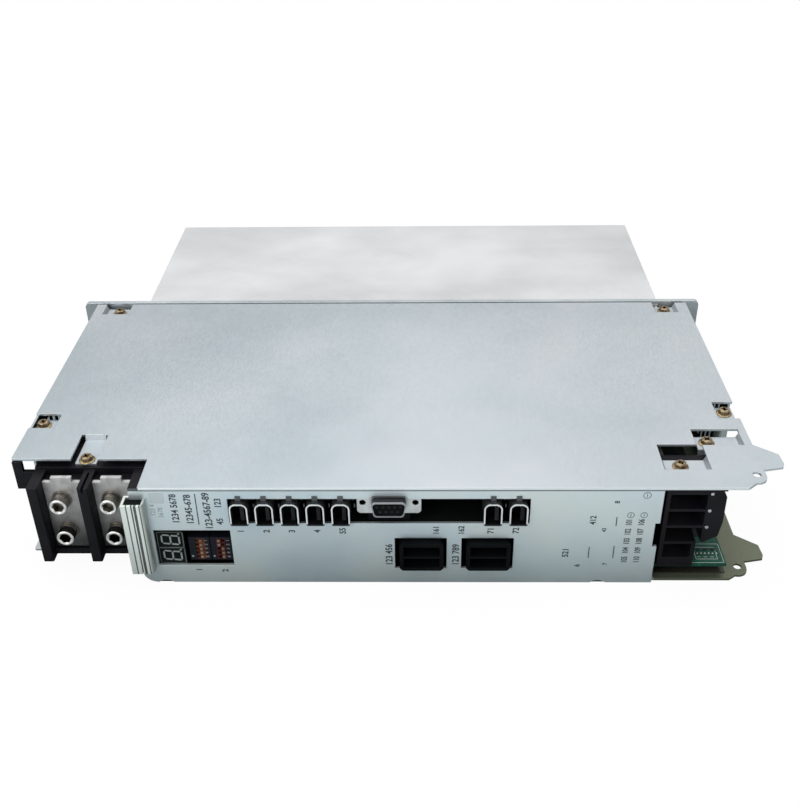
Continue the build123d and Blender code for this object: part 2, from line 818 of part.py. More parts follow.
def motor_terminal_block():
    """Moulded block with open bays, an angled right wall and a lid strip."""
    low = power_top
    near = behind(motor_front)
    shoulder = motor_right - 5.5
    outline = [
        (motor_left, low), (motor_left + motor_length * 0.57, low),
        (motor_left + motor_length * 0.57, above(motor_first_rib + motor_pitch + 0.7)),
        (motor_right - 1.6, above(motor_first_rib + motor_pitch + 0.7)),
        (motor_right, above(31.0)), (motor_right - 0.3, above(46.0)),
        (shoulder, tab_seat), (motor_left, tab_seat)]
    moulding = prism_back(outline, near, behind(motor_back))
    lid = block(motor_left - 1.5, motor_right - 2.5, near - 0.5, near + motor_lid_depth,
                tab_seat - 0.5, tab_seat + motor_lid_height)
    moulding += lid
    chamfer = [(0, 0), (motor_right - shoulder + 7, 0), (motor_right - shoulder + 7, 7)]
    slope = extrude(make_face(Polyline(*[(shoulder - 4 + x, near - 0.01 + y, 0)
                                         for x, y in chamfer], close=True)),
                    amount=case_width, both=True)
    slope = slope & block(motor_left, motor_right + 9, near - 1, near + 9, low - 1, tab_seat - 0.5)
    moulding -= slope
    for index, z in enumerate(motor_bay_centres()):
        length = motor_short_bay if index == 0 else motor_bay_length
        half = (motor_pitch - motor_rib) / 2
        moulding -= block(motor_left + motor_post, motor_left + motor_post + length, near - 1,
                          near + motor_bay_depth, z - half, z + half)
    for index in range(1, motor_bays):
        z = motor_bay_centres()[index]
        x = motor_stem_x
        half = motor_bar_height / 2 + slip
        moulding -= block(x - bar_thickness / 2 - slip, x + bar_thickness / 2 + slip,
                          near + motor_bay_depth - 1, behind(motor_back) + 1, z - half, z + half)
    for z in motor_bay_centres():
        moulding -= rod_back(motor_screw_x, near + motor_bay_depth - 1, z,
                             motor_screw_radius + thread_play, 9)
    for x, z in pin_places():
        moulding -= rod_back(x, near - 1, z, pin_radius + thread_play, 5)
    screw_x, screw_y = tab_screw_place(cover_tabs()[5])
    moulding -= rod_up(screw_x, screw_y, tab_seat - cover_screw_length,
                       cover_screw_radius + thread_play, cover_screw_length + 1)
    return moulding


def pin_places():
    """X and Z of the steel pins at the ribs' right ends."""
    x = motor_left + motor_post + motor_bay_length + 1.6
    return [(x, above(motor_first_rib + motor_pitch * i)) for i in range(2, motor_bays + 1)]


def motor_block_pins():
    """Steel pins at the ends of the ribs."""
    near = behind(motor_front)
    pins = []
    for x, z in pin_places():
        pin = rod_back(x, near - 0.6, z, pin_radius, 4.4)
        pins.append(fillet(pin.edges().group_by(Axis.Y)[0], 0.3))
    return group(pins)


def motor_terminal_plates():
    """Tinned plates at the back of the bays, the upper three with their bars."""
    seat = behind(motor_front + motor_bay_depth)
    plates = []
    for index, z in enumerate(motor_bay_centres()):
        x_low = motor_left + motor_post + 0.4
        x_high = x_low + motor_plate_width
        plate = block(x_low, x_high, seat - 1.2, seat, z - motor_plate_height / 2,
                      z + motor_plate_height / 2)
        plate -= rod_back(motor_screw_x, seat - 3, z, motor_screw_radius + slip, 5)
        if index > 0:
            x = motor_stem_x
            end = module_centres[1] - module_length / 2 + motor_bar_reaches[index - 1]
            plate += block(x - bar_thickness / 2, x + bar_thickness / 2, seat - 0.5, bar_back,
                           z - motor_bar_height / 2, z + motor_bar_height / 2)
            plate += block(min(end, x), max(end, x + bar_thickness / 2),
                           bar_back - bar_thickness, bar_back,
                           z - motor_bar_height / 2, z + motor_bar_height / 2)
        plates.append(plate)
    return group(plates)


def motor_terminal_screws():
    """Pan-head screws of the motor terminals."""
    screw = pan_screw(motor_screw_radius, 8.0, motor_head_radius, motor_head_height)
    seat = behind(motor_front + motor_bay_depth) - 1.2
    return group(Pos(motor_screw_x, seat, z) * screw for z in motor_bay_centres())


# ---- Circuit boards ----

def power_board_post_places():
    """X and Y of the posts under the power board."""
    near = behind(power_board_step + 12)
    far = behind(power_board_back - 6)
    middle = can_centres[-1] + can_radius + board_head_radius + 4.0
    ends = (left + power_board_left_inset + 7, middle, right - power_board_end_inset - 7)
    return [(x, y) for x in ends for y in (near, far)]


def control_post_places():
    """X and Y of the posts between the two boards."""
    xs = (plate_left + 10.0, motor_left - 14.0)
    return [(x, y) for x in xs for y in (behind(30.0), behind(control_back - 5.0))]


def flat_board(z_low, thickness):
    """L-shaped blank that the power board and the insulating film share."""
    x_low = left + power_board_left_inset
    x_high = right - power_board_end_inset
    board = block(x_low, x_high, behind(power_board_step), behind(power_board_back), z_low,
                  z_low + thickness)
    board += block(plate_left + 6.8, x_high, behind(power_board_front),
                   behind(power_board_step) + 1, z_low, z_low + thickness)
    for tab in cover_tabs():
        x, y = tab_screw_place(tab)
        board -= rod_up(x, y, z_low - 1, post_radius + slip, thickness + 2)
    return board


def power_board():
    """Large board that carries the terminals, headers and capacitors."""
    board = flat_board(power_bottom, board_thickness)
    for x, y in power_board_post_places():
        board -= rod_up(x, y, power_bottom - 1, board_screw_radius + slip, 4)
    return board


def insulation_sheet():
    """Insulating film on the base panel, under the power board."""
    film = flat_board(inner_bottom, film_thickness)
    for x, y in power_board_post_places():
        film -= rod_up(x, y, inner_bottom - 1, board_post_radius + slip, film_thickness + 2)
    keep = behind(front_thickness + sheet) + slip
    return film - block(left, right, behind(0), keep, bottom, power_bottom)


def control_board():
    """Board behind the link sockets."""
    board = block(plate_left + 4.0, motor_left - 7.0, behind(control_front),
                  behind(control_back), control_bottom, control_top)
    for x, y in control_post_places():
        board -= rod_up(x, y, control_bottom - 1, board_screw_radius + slip, 4)
    return board


def display_board():
    """Small upright board that carries the digits and the setting switches."""
    x_low = plate_left + display_start - 1.5
    x_high = x_low + display_length + 3.0
    return block(x_low, x_high, behind(display_board_front),
                 behind(display_board_front) + board_thickness, power_top, control_bottom - 0.5)


def board_posts():
    """Threaded posts under both boards."""
    hole = board_screw_radius + thread_play
    posts = []
    for x, y in power_board_post_places():
        post = rod_up(x, y, inner_bottom, board_post_radius, power_bottom - inner_bottom)
        posts.append(post - rod_up(x, y, inner_bottom + 0.6, hole, 10))
    for x, y in control_post_places():
        post = rod_up(x, y, power_top, board_post_radius, control_bottom - power_top)
        posts.append(post - rod_up(x, y, control_bottom - 6, hole, 10))
    return group(posts)


def board_screws():
    """Small screws that hold both boards to their posts."""
    screw = Rot(-90, 0, 0) * pan_screw(board_screw_radius, 4.6, board_head_radius,
                                       board_head_height)
    places = [(x, y, power_top) for x, y in power_board_post_places()]
    places += [(x, y, control_top) for x, y in control_post_places()]
    return group(Pos(*place) * screw for place in places)


def control_chips():
    """Chip packages on the control board."""
    start = plate_left + 30.0
    sizes = [(24, 24, 2.4), (14, 20, 2.0), (14, 20, 2.0), (10, 7, 1.8), (10, 7, 1.8)]
    chips = []
    for index, (length, depth, height) in enumerate(sizes):
        x = start + 36 * index
        chips.append(block(x, x + length, behind(50), behind(50) + depth, control_top,
                           control_top + height))
    return group(chips)


def board_link_header():
    """Plug-and-socket strip that joins the two boards."""
    middle = motor_left - link_header_inset
    y = behind(control_back - 12)
    half = link_header_length / 2
    return block(middle - half, middle + half, y, y + 5.0, power_top, control_bottom)


# ---- Front connectors ----

def arch(width, height, round_radius, foot_radius=0.8):
    """Arch outline in X-Z, standing on z = 0 and centred on x = 0."""
    shape = Pos(0, height / 2) * Rectangle(width, height)
    crown = shape.vertices().group_by(Axis.Y)[-1]
    shape = fillet(crown, round_radius)
    feet = shape.vertices().group_by(Axis.Y)[0]
    return Plane.XZ * fillet(feet, foot_radius)


def link_socket_shells():
    """Metal shells with their earthing fingers."""
    outer = arch(link_width, link_height, link_round)
    inner = arch(link_width - 2 * link_wall, link_height - 2 * link_wall,
                 link_round - link_wall, 0.4)
    length = link_nose + link_back
    shell = extrude(outer, amount=length, dir=(0, 1, 0))
    shell -= Pos(0, -1, link_wall) * extrude(inner, amount=length + 2, dir=(0, 1, 0))
    slot_top = top - slot_drop - link_low
    shell += block(-finger_width / 2, finger_width / 2, link_nose - finger_thickness - 0.2,
                   link_nose - 0.1, link_height - 0.3, slot_top + finger_lap)
    return group(Pos(x, behind(-link_nose), link_low) * shell for x in link_centres)


def link_socket_inserts():
    """Moulded inserts with a contact tongue, seated on the control board."""
    width = link_width - 2 * link_wall - 0.1
    height = link_height - 2 * link_wall - 0.1
    floor_y = cavity_depth
    core = extrude(arch(width, height, link_round - link_wall, 0.4),
                   amount=link_nose + link_back - floor_y, dir=(0, 1, 0))
    insert = Pos(0, floor_y, link_wall + 0.05) * core
    insert += block(tongue_shift, tongue_shift + tongue_thickness, 1.0, floor_y + 1,
                    link_wall + 2.0, link_height - link_wall - 2.2)
    body_near = link_nose + link_back
    insert += block(-link_width / 2, link_width / 2, body_near, body_near + 5.0, -link_lift,
                    link_height - 1.0)
    insert += block(-1.5, 1.5, body_near - 1, body_near + 1, 2.0, 6.0)
    return group(Pos(x, behind(-link_nose), link_low) * insert for x in link_centres)


def dsub_outline(width, height):
    """D-shaped outline in X-Z, centred on the origin, wider at the top."""
    half = width / 2
    shape = Polyline((-half, height / 2), (half, height / 2), (half - dsub_taper, -height / 2),
                     (-half + dsub_taper, -height / 2), close=True)
    face = make_face(shape)
    return Plane.XZ * fillet(face.vertices(), 1.8)


def dsub_shell():
    """Flange and D-shaped shell of the service socket."""
    flange = Plane.XZ * RectangleRounded(dsub_flange_length, dsub_flange_height, 2.0)
    part = extrude(flange, amount=dsub_flange_thickness, dir=(0, 1, 0))
    nose = extrude(dsub_outline(dsub_shell_width, dsub_shell_height),
                   amount=dsub_nose + front_thickness + 0.4, dir=(0, -1, 0))
    part += Pos(0, 0.4, 0) * nose
    bore = extrude(dsub_outline(dsub_shell_width - 2 * dsub_shell_wall,
                                dsub_shell_height - 2 * dsub_shell_wall),
                   amount=20, both=True)
    part -= bore
    for side in (-1, 1):
        part -= rod_back(side * dsub_hole_spacing / 2, -1, 0, dsub_hole_radius, 4)
    return Pos(plate_left + dsub_centre, behind(front_thickness), top - dsub_drop) * part


def dsub_insert():
    """Black insert with nine contact holes, and its body on the control board."""
    length = dsub_nose + front_thickness - 0.5
    core_face = dsub_outline(dsub_shell_width - 2 * dsub_shell_wall - 0.1,
                             dsub_shell_height - 2 * dsub_shell_wall - 0.1)
    core = extrude(core_face, amount=length, dir=(0, -1, 0))
    core += extrude(core_face, amount=dsub_flange_thickness + 1, dir=(0, 1, 0))
    for row, count in ((1.42, 5), (-1.42, 4)):
        for index in range(count):
            x = (index - (count - 1) / 2) * dsub_contact_pitch
            core -= rod_back(x, -length - 1, row, dsub_contact_radius, 5)
    centre_z = top - dsub_drop
    half = dsub_shell_width / 2 + 1.5
    high = dsub_flange_height / 2 - 0.4
    core += block(-half, half, dsub_flange_thickness, dsub_body_back - front_thickness,
                  control_top - centre_z, high)
    return Pos(plate_left + dsub_centre, behind(front_thickness), centre_z) * core


def power_header(centre):
    """Two-row power header with a central rib and a foot on the power board."""
    x_low = centre + header_shift - header_length / 2
    x_high = x_low + header_length
    low = above(header_low)
    high = low + header_height
    body = block(x_low, x_high, behind(-header_nose), behind(header_back), low, high)
    body = chamfer(body.edges().filter_by(Axis.Y), header_chamfer)
    body += block(x_low + 1, x_high - 1, behind(6), behind(header_back), power_top, low + 2)
    middle = (low + high) / 2
    for z_low, z_high in ((low + header_wall, middle - header_rib / 2),
                          (middle + header_rib / 2, high - header_wall)):
        body -= block(x_low + header_wall, x_high - header_wall, behind(-header_nose) - 1,
                      behind(-header_nose) + header_recess, z_low, z_high)
    for x, z in header_pin_places(centre):
        half = header_pin / 2 + 0.05
        body -= block(x - half, x + half, behind(0), behind(header_back) + 1, z - half, z + half)
    return body


def header_pin_places(centre):
    """X and Z of one header's pins."""
    low = above(header_low)
    row = (header_height - 2 * header_wall + header_rib) / 4
    middle = low + header_height / 2
    start = centre + header_shift - header_pin_pitch * (header_pin_columns - 1) / 2
    return [(start + header_pin_pitch * i, middle + side * row)
            for i in range(header_pin_columns) for side in (-1, 1)]


def power_header_left():
    return power_header(header_centres[0])


def power_header_right():
    return power_header(header_centres[1])


def power_header_pins():
    """Square pins of both headers."""
    half = header_pin / 2
    near = behind(-header_nose) + header_recess - header_pin_reach
    pins = []
    for centre in header_centres:
        for x, z in header_pin_places(centre):
            pins.append(block(x - half, x + half, near, behind(header_back) + 1.5,
                              z - half, z + half))
    return group(pins)


# ---- Digits and setting switches ----

def segment_bars():
    """Seven segments, digit centred on the origin: middle across, middle along, size both ways."""
    arm = digit_wide - segment_width
    limb = (digit_tall - segment_width) / 2
    bar = arm - segment_width - segment_gap
    upright = limb - segment_width - segment_gap
    bars = [(0, level * limb, bar, segment_width) for level in (-1, 0, 1)]
    sides = [(side * arm / 2, level * limb / 2, segment_width, upright)
             for side in (-1, 1) for level in (-1, 1)]
    return bars + sides


def digit_display(height):
    """Single-digit module turned on its side, with shallow segment recesses."""
    x_low = plate_left + digit_start
    z_low = above(height) - digit_width / 2
    body = block(x_low, x_low + digit_length, behind(display_face),
                 behind(display_board_front), z_low, z_low + digit_width)
    centre_x = x_low + digit_length / 2
    for across, along, size_across, size_along in segment_bars():
        body -= Pos(centre_x - along, behind(display_face), above(height) + across) \
            * Box(size_along, 2 * digit_recess, size_across)
    return body


def digit_display_upper():
    return digit_display(digit_first_height)


def digit_display_lower():
    return digit_display(digit_first_height - digit_width)


def slider_places(switch):
    """X of a switch's middle, and Z of each slider from the top down."""
    x = plate_left + dip_centres[switch]
    first = above(dip_height) + dip_pitch * (dip_count - 1) / 2
    return [(x, first - dip_pitch * i) for i in range(dip_count)]


def dip_switch(switch):
    """Switch body with one pocket for each slider."""
    x, _ = slider_places(switch)[0]
    z = above(dip_height)
    body = block(x - dip_width / 2, x + dip_width / 2, behind(dip_face),
                 behind(display_board_front), z - dip_length / 2, z + dip_length / 2)
    half_x = (dip_travel + slider_width) / 2 + slider_play
    half_z = slider_thickness / 2 + slider_play
    for place_x, place_z in slider_places(switch):
        body -= block(place_x - half_x, place_x + half_x, behind(dip_face) - 1,
                      behind(dip_face + slider_sink), place_z - half_z, place_z + half_z)
    return body


def dip_switch_left():
    return dip_switch(0)


def dip_switch_right():
    return dip_switch(1)


def dip_slider(switch, index, side):
    """One slider with a grip notch; side is the end of its travel that it rests at."""
    x, z = slider_places(switch)[index]
    x += side * dip_travel / 2
    near = behind(dip_face - slider_rise)
    slider = block(x - slider_width / 2, x + slider_width / 2, near,
                   behind(dip_face + slider_sink - slider_play),
                   z - slider_thickness / 2, z + slider_thickness / 2)
    return chamfer(slider.edges().group_by(Axis.Y)[0], 0.25)


# ---- Power stage ----

def module_screw_places():
    """X and Z of the power modules' fixing screws."""
    reach = module_length / 2 - module_ear / 2
    return [(x + side * reach, z) for x in module_centres for side in (-1, 1)
            for z in (-module_height / 4, module_height / 4)]


def igbt_module(index):
    """Power module on the heat sink's base, with ears and terminal bosses."""
    x = module_centres[index]
    back = flange_front - sink_base
    half = module_length / 2
    height = module_height / 2
    body = block(x - half, x + half, back - module_step, back, -height, height)
    body += block(x - half + module_ear, x + half - module_ear, module_front, back,
                  -height + 1, height - 1)
    for place_x, place_z in boss_places(index):
        body += rod_back(place_x, module_front - boss_height, place_z, boss_radius,
                         boss_height + 0.5)
    for place_x, place_z in module_screw_places():
        body -= rod_back(place_x, back - module_step - 1, place_z, module_screw_radius + slip,
                         module_step + 2)
    return body


def boss_places(index):
    """X and Z of one module's terminal bosses."""
    start = module_centres[index] - module_length / 2
    if index == 0:
        return [(start + reach - 6.0, above(centre))
                for reach, centre in zip(dc_bar_reaches, dc_bar_centres)]
    return [(start + reach + 6.0, z)
            for reach, z in zip(motor_bar_reaches, motor_bay_centres()[1:])]


def igbt_module_left():
    return igbt_module(0)


def igbt_module_right():
    return igbt_module(1)


def igbt_screws():
    """Fixing screws of both power modules."""
    screw = pan_screw(module_screw_radius, module_screw_length, module_head_radius,
                      module_head_height)
    seat = flange_front - sink_base - module_step
    return group(Pos(x, seat, z) * screw for x, z in module_screw_places())


def bus_capacitors():
    """Capacitor cans lying on the power board."""
    z = power_top + can_radius
    cans = []
    for x in can_centres:
        can = rod_back(x, behind(can_front), z, can_radius, can_length)
        ends = can.edges().group_by(Axis.Y)
        can = fillet(ends[0] + ends[-1], 1.2)
        foot = block(x - 4, x + 4, behind(can_front + 4), behind(can_front + can_length - 4),
                     power_top, power_top + 1.2)
        cans.append(can + foot)
    return group(cans)


def gate_transformers():
    """Small wound transformers behind the capacitors."""
    start = left + 160.0
    y = behind(122.0)
    coils = []
    for index in range(coil_count):
        x = start + 24 * index
        core = block(x, x + coil_size, y, y + coil_size, power_top, power_top + coil_height)
        window = block(x + 4, x + coil_size - 4, y - 1, y + coil_size + 1,
                       power_top + 4, power_top + coil_height - 4)
        coils.append(core - window)
    return group(coils)


def current_sensor():
    """Three-phase current sensor around the motor bars."""
    near = behind(sensor_front)
    x = motor_stem_x
    body = block(x - 8, x + 8, near, near + sensor_depth, power_top,
                 motor_bay_centres()[-1] + motor_bar_height / 2 + 2.0)
    for z in motor_bay_centres()[1:]:
        half = motor_bar_height / 2 + slip
        body -= block(x - bar_thickness / 2 - slip, x + bar_thickness / 2 + slip,
                      near - 1, near + sensor_depth + 1, z - half, z + half)
    return body


# Positions at rest: the left switch all on one side, the right one mixed.
slider_sides = {0: (1, 1, 1, 1, 1), 1: (-1, -1, 1, 1, 1)}

nodes = {
    "side_cover": side_cover,
    "base_panel": base_panel,
    "cover_posts": cover_posts,
    "cover_screws": cover_screws,
    "front_plate": front_plate,
    "terminal_cover_catch": terminal_cover_catch,
    "mounting_flange": mounting_flange,
    "heat_sink": heat_sink,
    "end_plate_left": end_plate_left,
    "end_plate_right": end_plate_right,
    "flange_screws": flange_screws,
    "sink_screws": sink_screws,
    "dc_terminal_block": dc_terminal_block,
    "dc_busbar_positive": dc_busbar_positive,
    "dc_busbar_negative": dc_busbar_negative,
    "dc_terminal_washers": dc_terminal_washers,
    "dc_terminal_bolts": dc_terminal_bolts,
    "motor_terminal_block": motor_terminal_block,
    "motor_block_pins": motor_block_pins,
    "motor_terminal_plates": motor_terminal_plates,
    "motor_terminal_screws": motor_terminal_screws,
    "power_board": power_board,
    "insulation_sheet": insulation_sheet,
    "control_board": control_board,
    "display_board": display_board,
    "board_posts": board_posts,
    "board_screws": board_screws,
    "control_chips": control_chips,
    "board_link_header": board_link_header,
    "link_socket_shells": link_socket_shells,
    "link_socket_inserts": link_socket_inserts,
    "dsub_shell": dsub_shell,
    "dsub_insert": dsub_insert,
    "power_header_left": power_header_left,
    "power_header_right": power_header_right,
    "power_header_pins": power_header_pins,
    "digit_display_upper": digit_display_upper,
    "digit_display_lower": digit_display_lower,
    "dip_switch_left": dip_switch_left,
    "dip_switch_right": dip_switch_right,
    "igbt_module_left": igbt_module_left,
    "igbt_module_right": igbt_module_right,
    "igbt_screws": igbt_screws,
    "bus_capacitors": bus_capacitors,
    "gate_transformers": gate_transformers,
    "current_sensor": current_sensor,
}

os.makedirs("parts", exist_ok=True)
for name, make in nodes.items():
    export_step(make(), f"parts/{name}.step")
for switch, side_name in ((0, "left"), (1, "right")):
    for index, side in enumerate(slider_sides[switch]):
        export_step(dip_slider(switch, index, side),
                    f"parts/dip_slider_{side_name}_{index + 1}.step")
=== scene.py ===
import json
import math

import bmesh
import bpy
from mathutils import Matrix, Vector


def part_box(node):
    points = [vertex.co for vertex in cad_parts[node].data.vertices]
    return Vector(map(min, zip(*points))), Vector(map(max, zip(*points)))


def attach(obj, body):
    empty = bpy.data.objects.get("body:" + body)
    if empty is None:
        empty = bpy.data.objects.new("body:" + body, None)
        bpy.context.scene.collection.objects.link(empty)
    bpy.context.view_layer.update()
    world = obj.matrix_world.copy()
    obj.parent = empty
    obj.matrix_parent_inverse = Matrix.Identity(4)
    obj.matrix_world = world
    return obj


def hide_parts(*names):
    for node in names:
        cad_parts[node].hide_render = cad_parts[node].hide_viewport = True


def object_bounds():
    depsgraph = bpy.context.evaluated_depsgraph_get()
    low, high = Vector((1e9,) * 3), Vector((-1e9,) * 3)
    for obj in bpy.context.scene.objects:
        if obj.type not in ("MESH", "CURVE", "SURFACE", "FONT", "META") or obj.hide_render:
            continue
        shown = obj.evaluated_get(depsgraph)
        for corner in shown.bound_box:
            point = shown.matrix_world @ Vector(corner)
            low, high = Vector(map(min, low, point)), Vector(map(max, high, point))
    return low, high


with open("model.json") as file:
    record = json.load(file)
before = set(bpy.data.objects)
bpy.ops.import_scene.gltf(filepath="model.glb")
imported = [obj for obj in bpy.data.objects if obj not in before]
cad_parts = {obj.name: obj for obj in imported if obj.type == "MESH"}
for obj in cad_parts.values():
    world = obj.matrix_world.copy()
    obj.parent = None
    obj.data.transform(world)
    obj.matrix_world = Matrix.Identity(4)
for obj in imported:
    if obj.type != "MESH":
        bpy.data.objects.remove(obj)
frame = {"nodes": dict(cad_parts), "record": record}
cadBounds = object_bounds()
print("stage: frame loaded")

mm = 0.001
bodyName = "drive"
unturned = Matrix.Identity(3)
facingFront = Matrix(((1, 0, 0), (0, 0, -1), (0, 1, 0)))  # a part's +Z turned to point at -Y
readingUp = Matrix(((0, -1, 0), (0, 0, -1), (1, 0, 0)))  # the same, with +X turned to +Z as well


# small helpers

def solidsOf(node):
    # corners of every separate solid in a CAD node, sorted left to right, then top down
    copied = bmesh.new()
    copied.from_mesh(frame["nodes"][node].data)
    bmesh.ops.remove_doubles(copied, verts=copied.verts, dist=1e-6)
    seen = set()
    boxes = []
    for start in copied.verts:
        if start in seen:
            continue
        seen.add(start)
        stack = [start]
        group = []
        while stack:
            vert = stack.pop()
            group.append(vert.co.copy())
            for edge in vert.link_edges:
                other = edge.other_vert(vert)
                if other not in seen:
                    seen.add(other)
                    stack.append(other)
        low = Vector(min(co[i] for co in group) for i in range(3))
        high = Vector(max(co[i] for co in group) for i in range(3))
        boxes.append((low, high))
    copied.free()
    return sorted(boxes, key=lambda box: (round(box[0].x, 4), -round(box[0].z, 4), round(box[0].y, 4)))


def middle(box):
    return (box[0] + box[1]) / 2


def newObject(name, data):
    made = bpy.data.objects.new(name, data)
    bpy.context.scene.collection.objects.link(made)
    return made


def meshFrom(name, solid):
    # finishes a bmesh: faces point outwards, then it becomes an object at the origin
    bmesh.ops.recalc_face_normals(solid, faces=solid.faces)
    mesh = bpy.data.meshes.new(name)
    solid.to_mesh(mesh)
    solid.free()
    return newObject(name, mesh)


def keep(piece, finish, replaced=()):
    if finish is not None:
        piece.data.materials.clear()
        piece.data.materials.append(finish)
    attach(piece, bodyName)
    if replaced:
        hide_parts(*replaced)
    return piece


def addBox(solid, low, high, soften=0.0):
    made = bmesh.ops.create_cube(solid, size=1.0)["verts"]
    size = Vector(high) - Vector(low)
    centre = (Vector(high) + Vector(low)) / 2
    for vert in made:
        vert.co = Vector((vert.co.x * size.x, vert.co.y * size.y, vert.co.z * size.z)) + centre
    if soften:
        edges = {edge for vert in made for edge in vert.link_edges}
        bmesh.ops.bevel(solid, geom=list(edges), offset=soften, segments=2, profile=0.5, affect="EDGES")


def addPrism(solid, outline, depth, place, turn=unturned):
    # closed outline in the part's X-Y plane, from z = 0 to depth, turned and moved into place
    near = [solid.verts.new(turn @ Vector((x, y, 0)) + Vector(place)) for x, y in outline]
    far = [solid.verts.new(turn @ Vector((x, y, depth)) + Vector(place)) for x, y in outline]
    solid.faces.new(near)
    solid.faces.new(far)
    count = len(outline)
    for i in range(count):
        j = (i + 1) % count
        solid.faces.new((near[i], near[j], far[j], far[i]))


def addLathe(solid, profile, steps, place=(0, 0, 0), ripple=0.0):
    # turned shape round Z from (radius, height) pairs that start and end on the axis
    rings = []
    for radius, height, knurled in [(p[0], p[1], p[2] if len(p) > 2 else False) for p in profile]:
        if radius == 0:
            rings.append([solid.verts.new(Vector((0, 0, height)) + Vector(place))])
            continue
        ring = []
        for i in range(steps):
            angle = 2 * math.pi * i / steps
            r = radius - (ripple if knurled and i % 2 else 0)
            ring.append(solid.verts.new(
                Vector((r * math.cos(angle), r * math.sin(angle), height)) + Vector(place)))
        rings.append(ring)
    for lower, upper in zip(rings, rings[1:]):
        for i in range(steps):
            j = (i + 1) % steps
            if len(lower) == 1 and len(upper) == 1:
                continue
            if len(lower) == 1:
                solid.faces.new((lower[0], upper[i], upper[j]))
            elif len(upper) == 1:
                solid.faces.new((lower[i], lower[j], upper[0]))
            else:
                solid.faces.new((lower[i], lower[j], upper[j], upper[i]))


def ringOutline(sides, radius, turn=0.0):
    return [(radius * math.cos(2 * math.pi * i / sides + turn),
             radius * math.sin(2 * math.pi * i / sides + turn)) for i in range(sides)]


def plainMesh(piece):
    # the evaluated shape as a plain mesh, with its modifiers used up
    evaluated = piece.evaluated_get(bpy.context.evaluated_depsgraph_get())
    mesh = bpy.data.meshes.new_from_object(evaluated)
    mesh.name = piece.name
    piece.modifiers.clear()
    piece.data = mesh
    return piece


def cutAway(piece, cutter):
    cut = piece.modifiers.new("cut", "BOOLEAN")
    cut.operation = "DIFFERENCE"
    cut.solver = "EXACT"
    cut.use_self = True
    cut.object = cutter
    bpy.context.view_layer.update()
    plainMesh(piece)
    bpy.data.objects.remove(cutter)
    return piece


def smoothBy(piece, degrees):
    for face in piece.data.polygons:
        face.use_smooth = True
    piece.data.set_sharp_from_angle(angle=math.radians(degrees))


# node trees that repeat a part

def newTree(name, sockets):
    tree = bpy.data.node_groups.new(name, "GeometryNodeTree")
    tree.interface.new_socket("Geometry", in_out="INPUT", socket_type="NodeSocketGeometry")
    for label, kind in sockets:
        tree.interface.new_socket(label, in_out="INPUT", socket_type=kind)
    tree.interface.new_socket("Geometry", in_out="OUTPUT", socket_type="NodeSocketGeometry")
    return tree, tree.nodes.new("NodeGroupInput"), tree.nodes.new("NodeGroupOutput")


def finishTree(tree, entry, leave, instances):
    real = tree.nodes.new("GeometryNodeRealizeInstances")
    coat = tree.nodes.new("GeometryNodeSetMaterial")
    tree.links.new(instances, real.inputs["Geometry"])
    tree.links.new(real.outputs["Geometry"], coat.inputs["Geometry"])
    tree.links.new(entry.outputs["Finish"], coat.inputs["Material"])
    tree.links.new(coat.outputs["Geometry"], leave.inputs["Geometry"])


def copyTree():
    # one part on every point, each turned about Axis by a seeded random angle up to Turn
    tree, entry, leave = newTree("copyOnPoints", [
        ("Part", "NodeSocketObject"), ("Axis", "NodeSocketVector"), ("Turn", "NodeSocketFloat"),
        ("Seed", "NodeSocketInt"), ("Finish", "NodeSocketMaterial")])
    add = tree.nodes.new
    join = tree.links.new
    part = add("GeometryNodeObjectInfo")
    reach = add("ShaderNodeVectorMath")
    reach.operation = "SCALE"
    angle = add("FunctionNodeRandomValue")
    angle.data_type = "FLOAT_VECTOR"
    angle.inputs[0].default_value = (0, 0, 0)
    turn = add("FunctionNodeEulerToRotation")
    place = add("GeometryNodeInstanceOnPoints")
    join(entry.outputs["Part"], part.inputs["Object"])
    join(entry.outputs["Axis"], reach.inputs[0])
    join(entry.outputs["Turn"], reach.inputs["Scale"])
    join(reach.outputs[0], angle.inputs[1])
    join(entry.outputs["Seed"], angle.inputs["Seed"])
    join(angle.outputs[0], turn.inputs[0])
    join(entry.outputs["Geometry"], place.inputs["Points"])
    join(part.outputs["Geometry"], place.inputs["Instance"])
    join(turn.outputs[0], place.inputs["Rotation"])
    finishTree(tree, entry, leave, place.outputs["Instances"])
    return tree


def rowTree():
    # a row of small blocks, repeated on every point
    tree, entry, leave = newTree("rowOfBlocks", [
        ("Count", "NodeSocketInt"), ("Start", "NodeSocketVector"), ("Step", "NodeSocketVector"),
        ("Size", "NodeSocketVector"), ("Finish", "NodeSocketMaterial")])
    add = tree.nodes.new
    join = tree.links.new
    line = add("GeometryNodeMeshLine")
    block = add("GeometryNodeMeshCube")
    row = add("GeometryNodeInstanceOnPoints")
    single = add("GeometryNodeRealizeInstances")
    place = add("GeometryNodeInstanceOnPoints")
    join(entry.outputs["Count"], line.inputs["Count"])
    join(entry.outputs["Start"], line.inputs["Start Location"])
    join(entry.outputs["Step"], line.inputs["Offset"])
    join(entry.outputs["Size"], block.inputs["Size"])
    join(line.outputs["Mesh"], row.inputs["Points"])
    join(block.outputs["Mesh"], row.inputs["Instance"])
    join(row.outputs["Instances"], single.inputs["Geometry"])
    join(entry.outputs["Geometry"], place.inputs["Points"])
    join(single.outputs["Geometry"], place.inputs["Instance"])
    finishTree(tree, entry, leave, place.outputs["Instances"])
    return tree


copyOnPoints = copyTree()
rowOfBlocks = rowTree()


